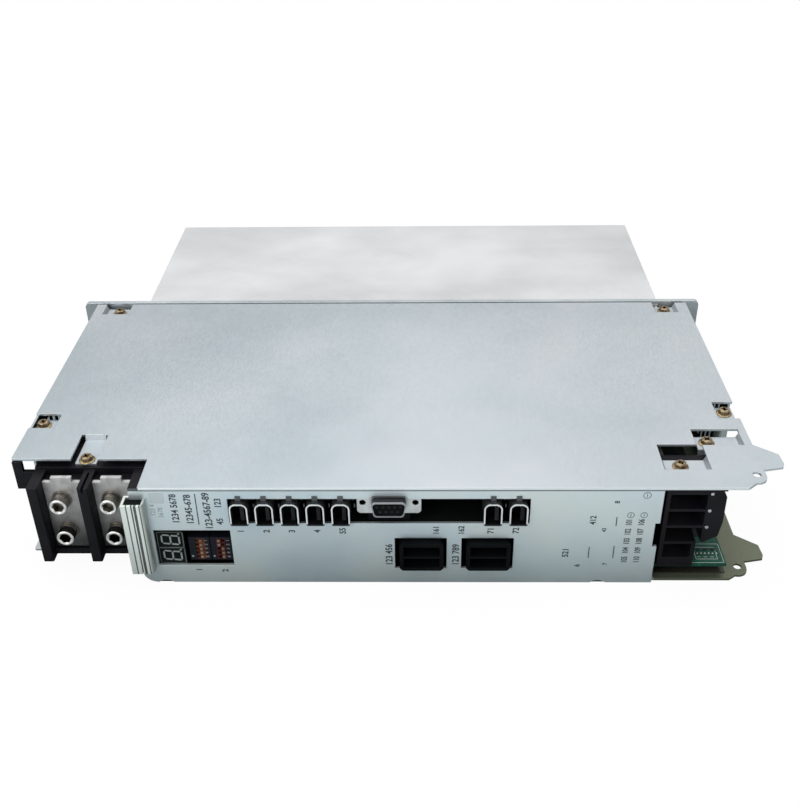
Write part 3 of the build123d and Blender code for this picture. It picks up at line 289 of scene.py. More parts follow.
def growFrom(name, tree, points, values):
    # points carry the tree; each value goes in by its socket's identifier
    mesh = bpy.data.meshes.new(name)
    mesh.from_pydata([tuple(point) for point in points], [], [])
    piece = newObject(name, mesh)
    grow = piece.modifiers.new("grow", "NODES")
    grow.node_group = tree
    for item in tree.interface.items_tree:
        if item.in_out == "INPUT" and item.name in values:
            grow[item.identifier] = values[item.name]
    bpy.context.view_layer.update()
    return plainMesh(piece)


def copies(name, part, points, finish, axis=(0, 0, 1), turn=0.0, seed=1, replaced=()):
    piece = growFrom(name, copyOnPoints, points, {
        "Part": part, "Axis": axis, "Turn": float(turn), "Seed": seed, "Finish": finish})
    bpy.data.objects.remove(part)
    return keep(piece, None, replaced)


print("stage: helpers ready")


# finishes

def startFinish(name):
    finish = bpy.data.materials.new(name)
    finish.use_nodes = True
    return finish, finish.node_tree, finish.node_tree.nodes["Principled BSDF"]


def setInputs(node, values):
    for label, value in values.items():
        node.inputs[label].default_value = value
    return node


def triple(value):
    return value if isinstance(value, tuple) else (value,) * 3


def coords(tree, scale):
    # the object's own coordinates, scaled; one number stands for all three
    place = tree.nodes.new("ShaderNodeTexCoord")
    stretch = setInputs(tree.nodes.new("ShaderNodeMapping"), {"Scale": triple(scale)})
    tree.links.new(place.outputs["Object"], stretch.inputs["Vector"])
    return stretch.outputs["Vector"]


def axesOf(tree):
    # X, Y and Z of the object's own coordinates
    place = tree.nodes.new("ShaderNodeTexCoord")
    parts = tree.nodes.new("ShaderNodeSeparateXYZ")
    tree.links.new(place.outputs["Object"], parts.inputs[0])
    return parts.outputs


def cloud(tree, scale, detail=3.0, rough=0.55):
    texture = setInputs(tree.nodes.new("ShaderNodeTexNoise"), {
        "Scale": 1.0, "Detail": detail, "Roughness": rough})
    tree.links.new(coords(tree, scale), texture.inputs["Vector"])
    return texture.outputs["Fac"]


def spread(tree, value, low, high, fromLow=0.35, fromHigh=0.65):
    node = setInputs(tree.nodes.new("ShaderNodeMapRange"), {
        "From Min": fromLow, "From Max": fromHigh, "To Min": low, "To Max": high})
    tree.links.new(value, node.inputs["Value"])
    return node.outputs["Result"]


def sums(tree, operation, first, second):
    node = tree.nodes.new("ShaderNodeMath")
    node.operation = operation
    for socket, value in zip(node.inputs, (first, second)):
        if isinstance(value, (int, float)):
            socket.default_value = value
        else:
            tree.links.new(value, socket)
    return node.outputs[0]


def mixed(tree, share, first, second):
    node = tree.nodes.new("ShaderNodeMix")
    node.data_type = "RGBA"
    sockets = (node.inputs["Factor"], node.inputs[6], node.inputs[7])
    for socket, value in zip(sockets, (share, first, second)):
        if isinstance(value, tuple):
            socket.default_value = (*value, 1.0)
        elif isinstance(value, (int, float)):
            socket.default_value = value
        else:
            tree.links.new(value, socket)
    return node.outputs[2]


def blended(tree, patches, look):
    return mixed(tree, spread(tree, patches, 0.0, 1.0), look["dark"], look["light"])


def edgeShare(tree, radius, gain):
    # near 1 on sharp edges and 0 on flats, from how a rounded normal leaves the true one
    soft = tree.nodes.new("ShaderNodeBevel")
    soft.samples = 4
    soft.inputs["Radius"].default_value = radius
    true = tree.nodes.new("ShaderNodeNewGeometry")
    dot = tree.nodes.new("ShaderNodeVectorMath")
    dot.operation = "DOT_PRODUCT"
    tree.links.new(soft.outputs["Normal"], dot.inputs[0])
    tree.links.new(true.outputs["Normal"], dot.inputs[1])
    return spread(tree, dot.outputs["Value"], gain, 0.0, 0.75, 0.99), soft.outputs["Normal"]


def crevice(tree, reach, floor):
    # painted shade: falls to floor inside holes and narrow gaps, from ambient occlusion
    node = tree.nodes.new("ShaderNodeAmbientOcclusion")
    node.samples = 6
    node.only_local = True
    node.inputs["Distance"].default_value = reach
    return spread(tree, node.outputs["AO"], floor, 1.0, 0.25, 0.85)


def zoned(tree, tone, zones):
    # paints a flat tone between two coordinates along one axis
    for axis, low, high, colour in zones:
        value = axesOf(tree)[axis]
        inside = sums(tree, "MULTIPLY", sums(tree, "GREATER_THAN", value, low),
                      sums(tree, "LESS_THAN", value, high))
        tone = mixed(tree, inside, tone, colour)
    return tone


def faded(tree, tone, shadeRamps):
    # painted shade: multiplies the tone by a share that runs from one coordinate to another
    for axis, start, end, startShare, endShare in shadeRamps:
        share = spread(tree, axesOf(tree)[axis], startShare, endShare, start, end)
        tone = darkened(tree, tone, share)
    return tone


def darkened(tree, tone, share):
    node = tree.nodes.new("ShaderNodeVectorMath")
    node.operation = "SCALE"
    tree.links.new(tone, node.inputs[0])
    tree.links.new(share, node.inputs["Scale"])
    return node.outputs[0]


def grooved(tree, height, strength, distance, normal=None):
    node = setInputs(tree.nodes.new("ShaderNodeBump"), {"Strength": strength, "Distance": distance})
    tree.links.new(height, node.inputs["Height"])
    if normal is not None:
        tree.links.new(normal, node.inputs["Normal"])
    return node.outputs["Normal"]


anyMetal = dict(
    grainRough=0.05, bump=0.10, metallic=0.75, specular=0.5, edgeShare=0.6, edgeRadius=0.35 * mm,
    zones=(), shadeRamps=(), crevice=None)
anyPlastic = dict(specular=0.5, bump=0.02, edgeShare=0.0, edgeRadius=0.05 * mm)
grainDepth = 0.1 * mm


def metalFinish(name, own):
    look = {**anyMetal, **own}
    finish, tree, shader = startFinish(name)
    patches = cloud(tree, look["patch"], 4.0)
    grain = cloud(tree, look["grain"], 2.0)
    tone = blended(tree, patches, look)
    tints = cloud(tree, tuple(2.1 * s for s in triple(look["patch"])), 2.0)
    tone = mixed(tree, spread(tree, tints, 0.0, look["tintShare"], 0.45, 0.75), tone, look["tint"])
    worn, rounded = edgeShare(tree, look["edgeRadius"], look["edgeShare"])
    tone = zoned(tree, mixed(tree, worn, tone, look["edge"]), look["zones"])
    # painted shade ramps along one axis
    tone = faded(tree, tone, look["shadeRamps"])
    # painted shade inside holes and narrow gaps
    if look["crevice"]:
        tone = darkened(tree, tone, crevice(tree, *look["crevice"]))
    tree.links.new(tone, shader.inputs["Base Color"])
    rough = sums(tree, "ADD", spread(tree, patches, look["rough"][0], look["rough"][1]),
                 spread(tree, grain, -look["grainRough"], look["grainRough"]))
    tree.links.new(rough, shader.inputs["Roughness"])
    tree.links.new(grooved(tree, grain, look["bump"], grainDepth, rounded), shader.inputs["Normal"])
    setInputs(shader, {"Metallic": look["metallic"], "Specular IOR Level": look["specular"]})
    return finish


def plasticFinish(name, own):
    look = {**anyPlastic, **own}
    finish, tree, shader = startFinish(name)
    patches = cloud(tree, 60)
    grain = cloud(tree, look["grain"], 2.0)
    tone = blended(tree, patches, look)
    worn, rounded = edgeShare(tree, look["edgeRadius"], look["edgeShare"])
    tone = mixed(tree, worn, tone, look["edge"])
    tree.links.new(tone, shader.inputs["Base Color"])
    tree.links.new(spread(tree, grain, *look["rough"]), shader.inputs["Roughness"])
    tree.links.new(grooved(tree, grain, look["bump"], grainDepth, rounded), shader.inputs["Normal"])
    setInputs(shader, {"Specular IOR Level": look["specular"]})
    return finish


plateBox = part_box("front_plate")
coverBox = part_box("side_cover")
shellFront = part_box("link_socket_shells")[0].y
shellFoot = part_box("link_socket_shells")[0].z
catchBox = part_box("terminal_cover_catch")
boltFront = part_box("dc_terminal_bolts")[0].y
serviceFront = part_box("dsub_shell")[0].y
far = 10.0


def acrossCatch(share):
    return catchBox[0].x + share * (catchBox[1].x - catchBox[0].x)


metals = {
    "coverSheet": dict(
        dark=(0.46, 0.515, 0.545), light=(0.54, 0.595, 0.62), tint=(0.59, 0.57, 0.60), tintShare=0.40,
        edge=(0.80, 0.83, 0.84), patch=7, grain=(900, 260, 900), rough=(0.36, 0.44),
        # painted highlight: the cover's front edge, level with the plate's face, is lighter
        zones=[("Y", -far, plateBox[0].y + 0.3 * mm, (0.70, 0.745, 0.755)),
               # painted shade: a dark line along the cover's rear edge
               ("Y", coverBox[1].y - 0.5 * mm, far, (0.10, 0.12, 0.14))]),
    "catchSheet": dict(
        dark=(0.66, 0.70, 0.67), light=(0.82, 0.86, 0.82), tint=(0.74, 0.76, 0.66), tintShare=0.3,
        edge=(0.86, 0.90, 0.88), edgeShare=0.7, patch=(60, 60, 13), grain=(900, 900, 300),
        rough=(0.30, 0.40), metallic=0.7,
        # painted shade: the catch darkens across its right side, where the bend turns away from the light
        shadeRamps=[("X", acrossCatch(0.84), acrossCatch(1.0), 1.0, 0.5)],
        # painted shade: dark lines at the catch's bends and gaps
        zones=[("X", acrossCatch(0.23), acrossCatch(0.29), (0.12, 0.13, 0.13)),
               ("X", acrossCatch(0.58), acrossCatch(0.70), (0.10, 0.11, 0.10)),
               ("X", acrossCatch(0.82), acrossCatch(0.87), (0.14, 0.15, 0.14))]),
    "endSheet": dict(
        dark=(0.46, 0.51, 0.54), light=(0.56, 0.61, 0.63), tint=(0.58, 0.58, 0.52), tintShare=0.3,
        edge=(0.76, 0.80, 0.80), patch=16, grain=(900, 260, 900), rough=(0.36, 0.46), metallic=0.7,
        # painted shade: the end plates' inner faces are near black, inside the case
        zones=[("X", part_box("end_plate_left")[0].x + 1.1 * mm,
                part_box("end_plate_right")[1].x - 1.1 * mm, (0.035, 0.04, 0.045))]),
    "zincSheet": dict(
        dark=(0.50, 0.54, 0.56), light=(0.60, 0.64, 0.66), tint=(0.62, 0.62, 0.53), tintShare=0.25,
        edge=(0.80, 0.83, 0.84), patch=16, grain=(900, 260, 900), rough=(0.34, 0.44)),
    "frontSheet": dict(
        dark=(0.54, 0.63, 0.67), light=(0.66, 0.73, 0.74), tint=(0.69, 0.68, 0.62), tintShare=0.35,
        edge=(0.80, 0.83, 0.84), edgeShare=0.7, edgeRadius=0.3 * mm, patch=13, grain=(1500, 900, 420),
        grainRough=0.03, rough=(0.38, 0.46), bump=0.03,
        # painted shade: a dark line along the plate's top edge, under the cover
        zones=[("Z", plateBox[1].z - 0.5 * mm, far, (0.07, 0.08, 0.09))]),
    "flangeSteel": dict(
        dark=(0.44, 0.49, 0.52), light=(0.56, 0.61, 0.64), tint=(0.60, 0.60, 0.52), tintShare=0.25,
        edge=(0.78, 0.82, 0.84), edgeShare=0.7, edgeRadius=0.4 * mm, patch=18, grain=(400, 900, 900),
        rough=(0.32, 0.44), bump=0.12),
    "sinkAluminium": dict(
        dark=(0.60, 0.605, 0.615), light=(0.69, 0.69, 0.695), tint=(0.76, 0.75, 0.73), tintShare=0.2,
        edge=(0.42, 0.43, 0.44), patch=(9, 14, 9), grain=(200, 1200, 700), rough=(0.42, 0.56),
        bump=0.14, metallic=0.6),
    "yellowZinc": dict(
        dark=(0.17, 0.115, 0.05), light=(0.44, 0.35, 0.20), tint=(0.40, 0.25, 0.20), tintShare=0.45,
        edge=(0.86, 0.80, 0.66), edgeRadius=0.2 * mm, patch=420, grain=2600, grainRough=0.04,
        rough=(0.28, 0.42), metallic=0.9, crevice=(1.6 * mm, 0.05)),
    "brightScrew": dict(
        dark=(0.42, 0.43, 0.44), light=(0.56, 0.57, 0.58), tint=(0.50, 0.50, 0.46), tintShare=0.2,
        edge=(0.80, 0.80, 0.80), edgeShare=0.4, edgeRadius=0.15 * mm, patch=300, grain=2600,
        grainRough=0.04, rough=(0.22, 0.34), bump=0.04, metallic=0.95, crevice=(3 * mm, 0.3)),
    "boltSteel": dict(
        dark=(0.16, 0.15, 0.13), light=(0.40, 0.38, 0.34), tint=(0.34, 0.29, 0.22), tintShare=0.35,
        edge=(0.44, 0.42, 0.38), edgeShare=0.5, edgeRadius=0.2 * mm, patch=240, grain=2200,
        rough=(0.26, 0.40), bump=0.12, metallic=0.95, crevice=(2.6 * mm, 0.03),
        # painted highlight: the bolt heads' front face is near white
        zones=[("Y", boltFront - far, boltFront + 0.55 * mm, (0.86, 0.85, 0.82))]),
    # painted shade: the lower bolts' copy of the bolt finish, darkened to near black for the shade around
    # them
    "boltDark": dict(
        dark=(0.020, 0.020, 0.020), light=(0.055, 0.052, 0.048), tint=(0.10, 0.09, 0.07), tintShare=0.3,
        edge=(0.06, 0.055, 0.05), edgeShare=0.3, edgeRadius=0.2 * mm, patch=240, grain=2200,
        rough=(0.30, 0.42), bump=0.12, metallic=0.95, crevice=(2.6 * mm, 0.03),
        # painted highlight: the bolt heads' front face is near white
        zones=[("Y", boltFront - far, boltFront + 0.55 * mm, (0.84, 0.83, 0.80))]),
    "dcPlate": dict(
        dark=(0.40, 0.39, 0.385), light=(0.58, 0.57, 0.565), tint=(0.48, 0.44, 0.42), tintShare=0.4,
        edge=(0.70, 0.70, 0.68), edgeRadius=0.3 * mm, patch=(260, 200, 260), grain=(1500, 1500, 900),
        grainRough=0.06, rough=(0.40, 0.55), bump=0.16, metallic=0.7, crevice=(9 * mm, 0.3),
        # painted shade: the DC plates darken towards the bottom
        shadeRamps=[("Z", 14 * mm, -14 * mm, 1.0, 0.22)]),
    "baseSheet": dict(
        dark=(0.44, 0.48, 0.50), light=(0.54, 0.58, 0.60), tint=(0.56, 0.56, 0.46), tintShare=0.3,
        edge=(0.70, 0.72, 0.68), edgeShare=0.5, patch=16, grain=(900, 260, 900), rough=(0.36, 0.46),
        metallic=0.7,
        zones=[("X", plateBox[1].x + 1.5 * mm, far, (0.17, 0.185, 0.13))]),
    "tinnedBar": dict(
        dark=(0.66, 0.66, 0.64), light=(0.80, 0.80, 0.79), tint=(0.72, 0.68, 0.62), tintShare=0.3,
        edge=(0.92, 0.92, 0.91), edgeShare=0.5, edgeRadius=0.25 * mm, patch=(90, 90, 160),
        grain=(1500, 1500, 500), rough=(0.34, 0.48), metallic=0.8, crevice=(9 * mm, 0.25)),
    "socketShell": dict(
        dark=(0.74, 0.75, 0.75), light=(0.88, 0.89, 0.89), tint=(0.78, 0.77, 0.72), tintShare=0.2,
        edge=(0.95, 0.95, 0.95), edgeRadius=0.2 * mm, patch=120, grain=1800, grainRough=0.04,
        rough=(0.36, 0.46), bump=0.06, metallic=0.85,
        # painted shade: the shell is dark behind its front lip, inside the plate's slot
        zones=[("Y", shellFront + 0.35 * mm, far, (0.11, 0.115, 0.12)),
               # painted shade under the shell's foot
               ("Z", -far, shellFoot + 1.1 * mm, (0.035, 0.037, 0.04))]),
    "serviceShell": dict(
        dark=(0.52, 0.53, 0.53), light=(0.68, 0.69, 0.69), tint=(0.60, 0.58, 0.54), tintShare=0.3,
        edge=(0.92, 0.92, 0.91), edgeShare=0.7, edgeRadius=0.3 * mm, patch=200, grain=1800,
        grainRough=0.04, rough=(0.32, 0.42), bump=0.06, metallic=0.85, crevice=(3 * mm, 0.15),
        # painted shade inside the shell's mouth: a grey band at the rim, then near black further in
        zones=[("Y", serviceFront - 0.1 * mm, serviceFront + 0.9 * mm, (0.36, 0.37, 0.38)),
               ("Y", serviceFront + 0.9 * mm, serviceFront + 4.4 * mm, (0.045, 0.045, 0.05))]),
    "contactGold": dict(
        dark=(0.05, 0.042, 0.032), light=(0.10, 0.085, 0.065), tint=(0.11, 0.09, 0.06), tintShare=0.3,
        edge=(0.18, 0.155, 0.12), edgeShare=0.4, edgeRadius=0.06 * mm, patch=500, grain=3000,
        grainRough=0.03, rough=(0.3, 0.4), bump=0.04, metallic=1.0, crevice=(1.0 * mm, 0.2)),
}

plastics = {
    "blackMoulding": dict(
        dark=(0.0035, 0.0035, 0.005), light=(0.009, 0.008, 0.011), edge=(0.045, 0.042, 0.052),
        edgeShare=0.7, edgeRadius=0.35 * mm, grain=2400, rough=(0.45, 0.6), bump=0.25, specular=0.16),
    "connectorBlack": dict(
        dark=(0.0015, 0.0025, 0.0025), light=(0.004, 0.005, 0.006), edge=(0.018, 0.022, 0.022),
        edgeShare=0.7, edgeRadius=0.35 * mm, grain=3000, rough=(0.45, 0.55), bump=0.15, specular=0.05),
    "chipBlack": dict(
        dark=(0.020, 0.020, 0.022), light=(0.032, 0.032, 0.035), edge=(0.07, 0.07, 0.08), edgeShare=0.5,
        edgeRadius=0.3 * mm, grain=3500, rough=(0.5, 0.62), bump=0.2),
    "digitBlack": dict(
        dark=(0.002, 0.004, 0.004), light=(0.004, 0.007, 0.007), edge=(0.03, 0.035, 0.035),
        edgeShare=0.4, edgeRadius=0.15 * mm, grain=2500, rough=(0.34, 0.44), bump=0.03, specular=0.07),
    "segmentGrey": dict(
        dark=(0.17, 0.195, 0.19), light=(0.26, 0.285, 0.275), edge=(0.6, 0.62, 0.6), edgeShare=0.3,
        grain=2500, rough=(0.3, 0.4), bump=0.03),
    "rimGrey": dict(
        dark=(0.06, 0.075, 0.075), light=(0.10, 0.115, 0.11), edge=(0.12, 0.13, 0.13), edgeShare=0.4,
        edgeRadius=0.08 * mm, grain=2500, rough=(0.5, 0.6), bump=0.05, specular=0.2),
    "sliderWhite": dict(
        dark=(0.15, 0.085, 0.055), light=(0.27, 0.175, 0.12), edge=(0.50, 0.42, 0.35), edgeShare=0.4,
        edgeRadius=0.12 * mm, grain=2500, rough=(0.35, 0.48), bump=0.06),
    "tongueGrey": dict(
        dark=(0.005, 0.005, 0.006), light=(0.012, 0.012, 0.014), edge=(0.05, 0.05, 0.055),
        edgeShare=0.6, edgeRadius=0.2 * mm, grain=2500, rough=(0.4, 0.5), bump=0.06, specular=0.15),
    "markInk": dict(
        dark=(0.022, 0.030, 0.038), light=(0.045, 0.055, 0.065), edge=(0.06, 0.07, 0.08), grain=1800,
        rough=(0.5, 0.6)),
    "labelFilm": dict(
        dark=(0.42, 0.47, 0.50), light=(0.48, 0.53, 0.55), edge=(0.36, 0.40, 0.42), edgeShare=0.8,
        edgeRadius=0.25 * mm, grain=1800, rough=(0.3, 0.4)),
    "markGrey": dict(
        dark=(0.20, 0.21, 0.23), light=(0.34, 0.35, 0.37), edge=(0.3, 0.3, 0.3), grain=1800,
        rough=(0.5, 0.6)),
    "markFaint": dict(
        dark=(0.22, 0.25, 0.27), light=(0.30, 0.33, 0.35), edge=(0.3, 0.3, 0.3), grain=1800,
        rough=(0.5, 0.6)),
    "markWhite": dict(
        dark=(0.62, 0.66, 0.62), light=(0.80, 0.82, 0.79), edge=(0.8, 0.8, 0.8), grain=1800,
        rough=(0.5, 0.6)),
    "coreGrey": dict(
        dark=(0.10, 0.095, 0.09), light=(0.16, 0.15, 0.14), edge=(0.24, 0.23, 0.22), edgeShare=0.5,
        edgeRadius=0.3 * mm, grain=1500, rough=(0.55, 0.7), bump=0.25),
}

finishes = {name: metalFinish(name, own) for name, own in metals.items()}
finishes.update({name: plasticFinish(name, own) for name, own in plastics.items()})


def boardFinish(name, look):
    # green mask over squared copper runs, which show through as a lighter green
    finish, tree, shader = startFinish(name)
    runs = setInputs(tree.nodes.new("ShaderNodeTexBrick"), {
        "Scale": 1.0, "Mortar Size": 0.16, "Mortar Smooth": 0.3, "Brick Width": 3.2, "Row Height": 0.7})
    tree.links.new(coords(tree, look["pitch"]), runs.inputs["Vector"])
    patches = cloud(tree, 40)
    share = sums(tree, "MULTIPLY", runs.outputs["Fac"], spread(tree, patches, 0.2, 1.0))
    tone = zoned(tree, mixed(tree, share, look["mask"], look["run"]), look.get("zones", ()))
    tree.links.new(tone, shader.inputs["Base Color"])
    tree.links.new(spread(tree, patches, look["rough"], look["rough"] + 0.1), shader.inputs["Roughness"])
    tree.links.new(grooved(tree, share, 0.25, grainDepth / 2), shader.inputs["Normal"])
    setInputs(shader, {"Specular IOR Level": 0.25})
    return finish


def filmFinish(name):
    look = dict(dark=(0.018, 0.017, 0.014), light=(0.035, 0.033, 0.026), rough=(0.18, 0.3), clear=0.1)
    finish, tree, shader = startFinish(name)
    patches = cloud(tree, 30)
    tree.links.new(blended(tree, patches, look), shader.inputs["Base Color"])
    tree.links.new(spread(tree, patches, *look["rough"]), shader.inputs["Roughness"])
    setInputs(shader, {"Transmission Weight": look["clear"]})
    return finish


def switchFinish(name, node, zone):
    # black body with a coloured strip along the sliders, held to the body's own middle
    look = dict(black=(0.006, 0.007, 0.012), halfWidth=2.2 * mm, margin=1.3 * mm, rough=(0.5, 0.65))
    finish, tree, shader = startFinish(name)
    place = axesOf(tree)
    centreAcross = middle(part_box(node)).x - zone["shift"]
    away = sums(tree, "ABSOLUTE", sums(tree, "SUBTRACT", place["X"], centreAcross), 0.0)
    first, last = (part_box(node.replace("switch", "slider") + f"_{number}") for number in (1, 5))
    centreHeight = (middle(first).z + middle(last).z) / 2
    reach = abs(middle(first).z - middle(last).z) / 2 + look["margin"]
    along = sums(tree, "ABSOLUTE", sums(tree, "SUBTRACT", place["Z"], centreHeight), 0.0)
    inside = sums(tree, "MULTIPLY", sums(tree, "LESS_THAN", away, look["halfWidth"]),
                  sums(tree, "LESS_THAN", along, reach))
    patches = cloud(tree, 500)
    strip = blended(tree, patches, zone)
    tree.links.new(mixed(tree, inside, look["black"], strip), shader.inputs["Base Color"])
    tree.links.new(spread(tree, patches, *look["rough"]), shader.inputs["Roughness"])
    setInputs(shader, {"Specular IOR Level": 0.2})
    return finish


def canFinish(name, node):
    # dark shrink sleeve, with the bare aluminium end at the front
    look = dict(dark=(0.016, 0.020, 0.036), light=(0.03, 0.035, 0.055), metal=(0.72, 0.72, 0.72),
                lip=1.3 * mm, rough=(0.25, 0.4))
    finish, tree, shader = startFinish(name)
    bare = sums(tree, "LESS_THAN", axesOf(tree)["Y"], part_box(node)[0].y + look["lip"])
    patches = cloud(tree, 80)
    sleeve = blended(tree, patches, look)
    tree.links.new(mixed(tree, bare, sleeve, look["metal"]), shader.inputs["Base Color"])
    tree.links.new(bare, shader.inputs["Metallic"])
    tree.links.new(spread(tree, patches, *look["rough"]), shader.inputs["Roughness"])
    return finish


finishes["boardGreen"] = boardFinish("boardGreen", dict(
    mask=(0.010, 0.075, 0.050), run=(0.025, 0.150, 0.095), pitch=420, rough=0.28,
    # painted shade: the power board is near black behind the plate and deep inside the case
    zones=[("Y", plateBox[0].y + 26 * mm, 0.0, (0.002, 0.005, 0.004)),
           ("X", -far, plateBox[1].x, (0.001, 0.002, 0.002))]))
finishes["boardDark"] = boardFinish("boardDark", dict(
    mask=(0.001, 0.002, 0.002), run=(0.002, 0.005, 0.004), pitch=420, rough=0.6))
finishes["insulatingFilm"] = filmFinish("insulatingFilm")
finishes["orangeSwitch"] = switchFinish("orangeSwitch", "dip_switch_left", dict(
    dark=(0.055, 0.016, 0.006), light=(0.165, 0.048, 0.014), shift=-0.6 * mm))
finishes["redSwitch"] = switchFinish("redSwitch", "dip_switch_right", dict(
    dark=(0.035, 0.005, 0.005), light=(0.085, 0.010, 0.010), shift=0.1 * mm))
finishes["canSleeve"] = canFinish("canSleeve", "bus_capacitors")

finishOfSlot = {
    "zinc_sheet": "zincSheet", "front_sheet": "frontSheet", "flange_steel": "flangeSteel",
    "sink_aluminium": "sinkAluminium", "black_moulding": "blackMoulding",
    "connector_black": "connectorBlack", "yellow_zinc": "yellowZinc", "bright_screw": "brightScrew",
    "bolt_steel": "boltSteel", "tinned_bar": "tinnedBar", "socket_shell": "socketShell",
    "board_green": "boardGreen", "film": "insulatingFilm", "chip_black": "chipBlack",
    "digit_black": "digitBlack", "switch_orange": "orangeSwitch", "switch_red": "redSwitch",
    "slider_white": "sliderWhite", "can_sleeve": "canSleeve", "core_grey": "coreGrey",
}
slotOfNode = {part["node"]: part["material_slot"] for part in frame["record"]["subparts"]}
ownFinish = {
    "side_cover": "coverSheet", "terminal_cover_catch": "catchSheet", "dsub_shell": "serviceShell",
    "control_board": "boardDark", "display_board": "boardDark", "base_panel": "baseSheet",
    "end_plate_left": "endSheet", "end_plate_right": "endSheet",
    "dc_busbar_positive": "dcPlate", "dc_busbar_negative": "dcPlate", "cover_posts": "zincSheet",
}
for nodeName, cadObject in frame["nodes"].items():
    cadObject.data.materials.clear()
    finishName = ownFinish.get(nodeName, finishOfSlot[slotOfNode[nodeName]])
    cadObject.data.materials.append(finishes[finishName])
print("stage: finishes on", len(frame["nodes"]), "CAD nodes")


# cover screws

def coverScrews():
    look = dict(washerRadius=3.95 * mm, washerEdge=0.5 * mm, hexAcross=2.95 * mm, headTop=2.75 * mm,
                crown=0.4 * mm, crossSize=1.75 * mm, crossWidth=0.42 * mm, crossDepth=1.5 * mm,
                dimple=1.15 * mm, shankRadius=1.95 * mm, shankLength=6.0 * mm, seat=2.8 * mm, seed=4)
    solid = bmesh.new()
    addLathe(solid, [(0, -look["shankLength"]), (look["shankRadius"] - 0.4 * mm, -look["shankLength"]),
                     (look["shankRadius"], -look["shankLength"] + 0.5 * mm), (look["shankRadius"], 0),
                     (look["washerRadius"], 0), (look["washerRadius"], look["washerEdge"] * 0.7),
                     (look["washerRadius"] - 0.3 * mm, look["washerEdge"]),
                     (look["hexAcross"] * 0.8, look["washerEdge"] + 0.2 * mm),
                     (0, look["washerEdge"] + 0.2 * mm)], 48)
    hexTop = look["headTop"] - look["crown"]
    turned = look["hexAcross"]
    addPrism(solid, ringOutline(6, turned), hexTop - look["washerEdge"] * 0.5,
             (0, 0, look["washerEdge"] * 0.5))
    addLathe(solid, [(0, hexTop - 0.3 * mm), (turned * 0.86, hexTop - 0.3 * mm), (turned * 0.86, hexTop),
                     (turned * 0.78, look["headTop"] - 0.12 * mm), (turned * 0.6, look["headTop"]),
                     (0, look["headTop"])], 48)
    head = meshFrom("coverScrewPart", solid)
    cross = bmesh.new()
    deep = look["headTop"] - look["crossDepth"]
    for size in ((look["crossSize"], look["crossWidth"]), (look["crossWidth"], look["crossSize"])):
        addBox(cross, (-size[0], -size[1], deep), (size[0], size[1], look["headTop"] + mm))
    addPrism(cross, ringOutline(24, look["dimple"]), 2 * mm, (0, 0, look["headTop"] - 0.9 * mm))
    cutAway(head, meshFrom("crossCutter", cross))
    smoothBy(head, 35)
    places = []
    for box in solidsOf("cover_screws"):
        centre = middle(box)
        places.append((centre.x, centre.y, box[1].z - look["seat"]))
    copies("coverScrews", head, places, finishes["yellowZinc"], turn=math.pi,
           seed=look["seed"], replaced=["cover_screws"])


# socket-head bolts of the DC terminals

def terminalBolts():
    look = dict(headHeight=5.0 * mm, knurl=0.12 * mm, knurls=96, keyAcross=3.0 * mm, keyDepth=3.6 * mm,
                chamfer=0.45 * mm, shankRadius=2.45 * mm)
    boxes = solidsOf("dc_terminal_bolts")
    radius = (boxes[0][1].x - boxes[0][0].x) / 2
    length = boxes[0][1].y - boxes[0][0].y
    rim = radius - look["chamfer"]
    knurlLow = look["headHeight"] * 0.2
    solid = bmesh.new()
    addLathe(solid, [(0, look["headHeight"] - length), (look["shankRadius"], look["headHeight"] - length),
                     (look["shankRadius"], 0), (radius - 0.25 * mm, 0), (radius, 0.3 * mm),
                     (radius, knurlLow), (radius - 0.02 * mm, knurlLow + 0.1 * mm, True),
                     (radius - 0.02 * mm, look["headHeight"] - look["chamfer"] - 0.15 * mm, True),
                     (radius, look["headHeight"] - look["chamfer"]),
                     (rim, look["headHeight"]), (0, look["headHeight"])], look["knurls"],
             ripple=look["knurl"])
    bolt = meshFrom("boltPart", solid)
    key = bmesh.new()
    addPrism(key, ringOutline(6, look["keyAcross"], math.pi / 6), look["keyDepth"] + mm,
             (0, 0, look["headHeight"] - look["keyDepth"]))
    cutAway(bolt, meshFrom("keyCutter", key))
    lead = bmesh.new()   # countersunk lead into the key
    leadLow = look["headHeight"] - 0.5 * mm
    leadHigh = look["headHeight"] + 0.1 * mm
    addLathe(lead, [(0, leadLow), (look["keyAcross"] * 0.86, leadLow),
                    (look["keyAcross"] * 1.2, leadHigh), (0, leadHigh)], 48)
    cutAway(bolt, meshFrom("leadCutter", lead))
    smoothBy(bolt, 30)
    bolt.data.transform(facingFront.to_4x4())
    split = sum(middle(box).z for box in boxes) / len(boxes)
    places = [(middle(box).x, box[0].y + look["headHeight"], middle(box).z) for box in boxes]
    other = bolt.copy()
    bpy.context.scene.collection.objects.link(other)
    copies("upperBolts", bolt, [p for p in places if p[2] > split], finishes["boltSteel"],
           axis=(0, 1, 0), turn=math.pi / 3, seed=7, replaced=["dc_terminal_bolts"])
    # the lower bolts take the painted-shade copy of the bolt finish
    copies("lowerBolts", other, [p for p in places if p[2] < split], finishes["boltDark"],
           axis=(0, 1, 0), turn=math.pi / 3, seed=9)


coverScrews()
terminalBolts()
print("stage: screws and bolts")


# digits and setting switches

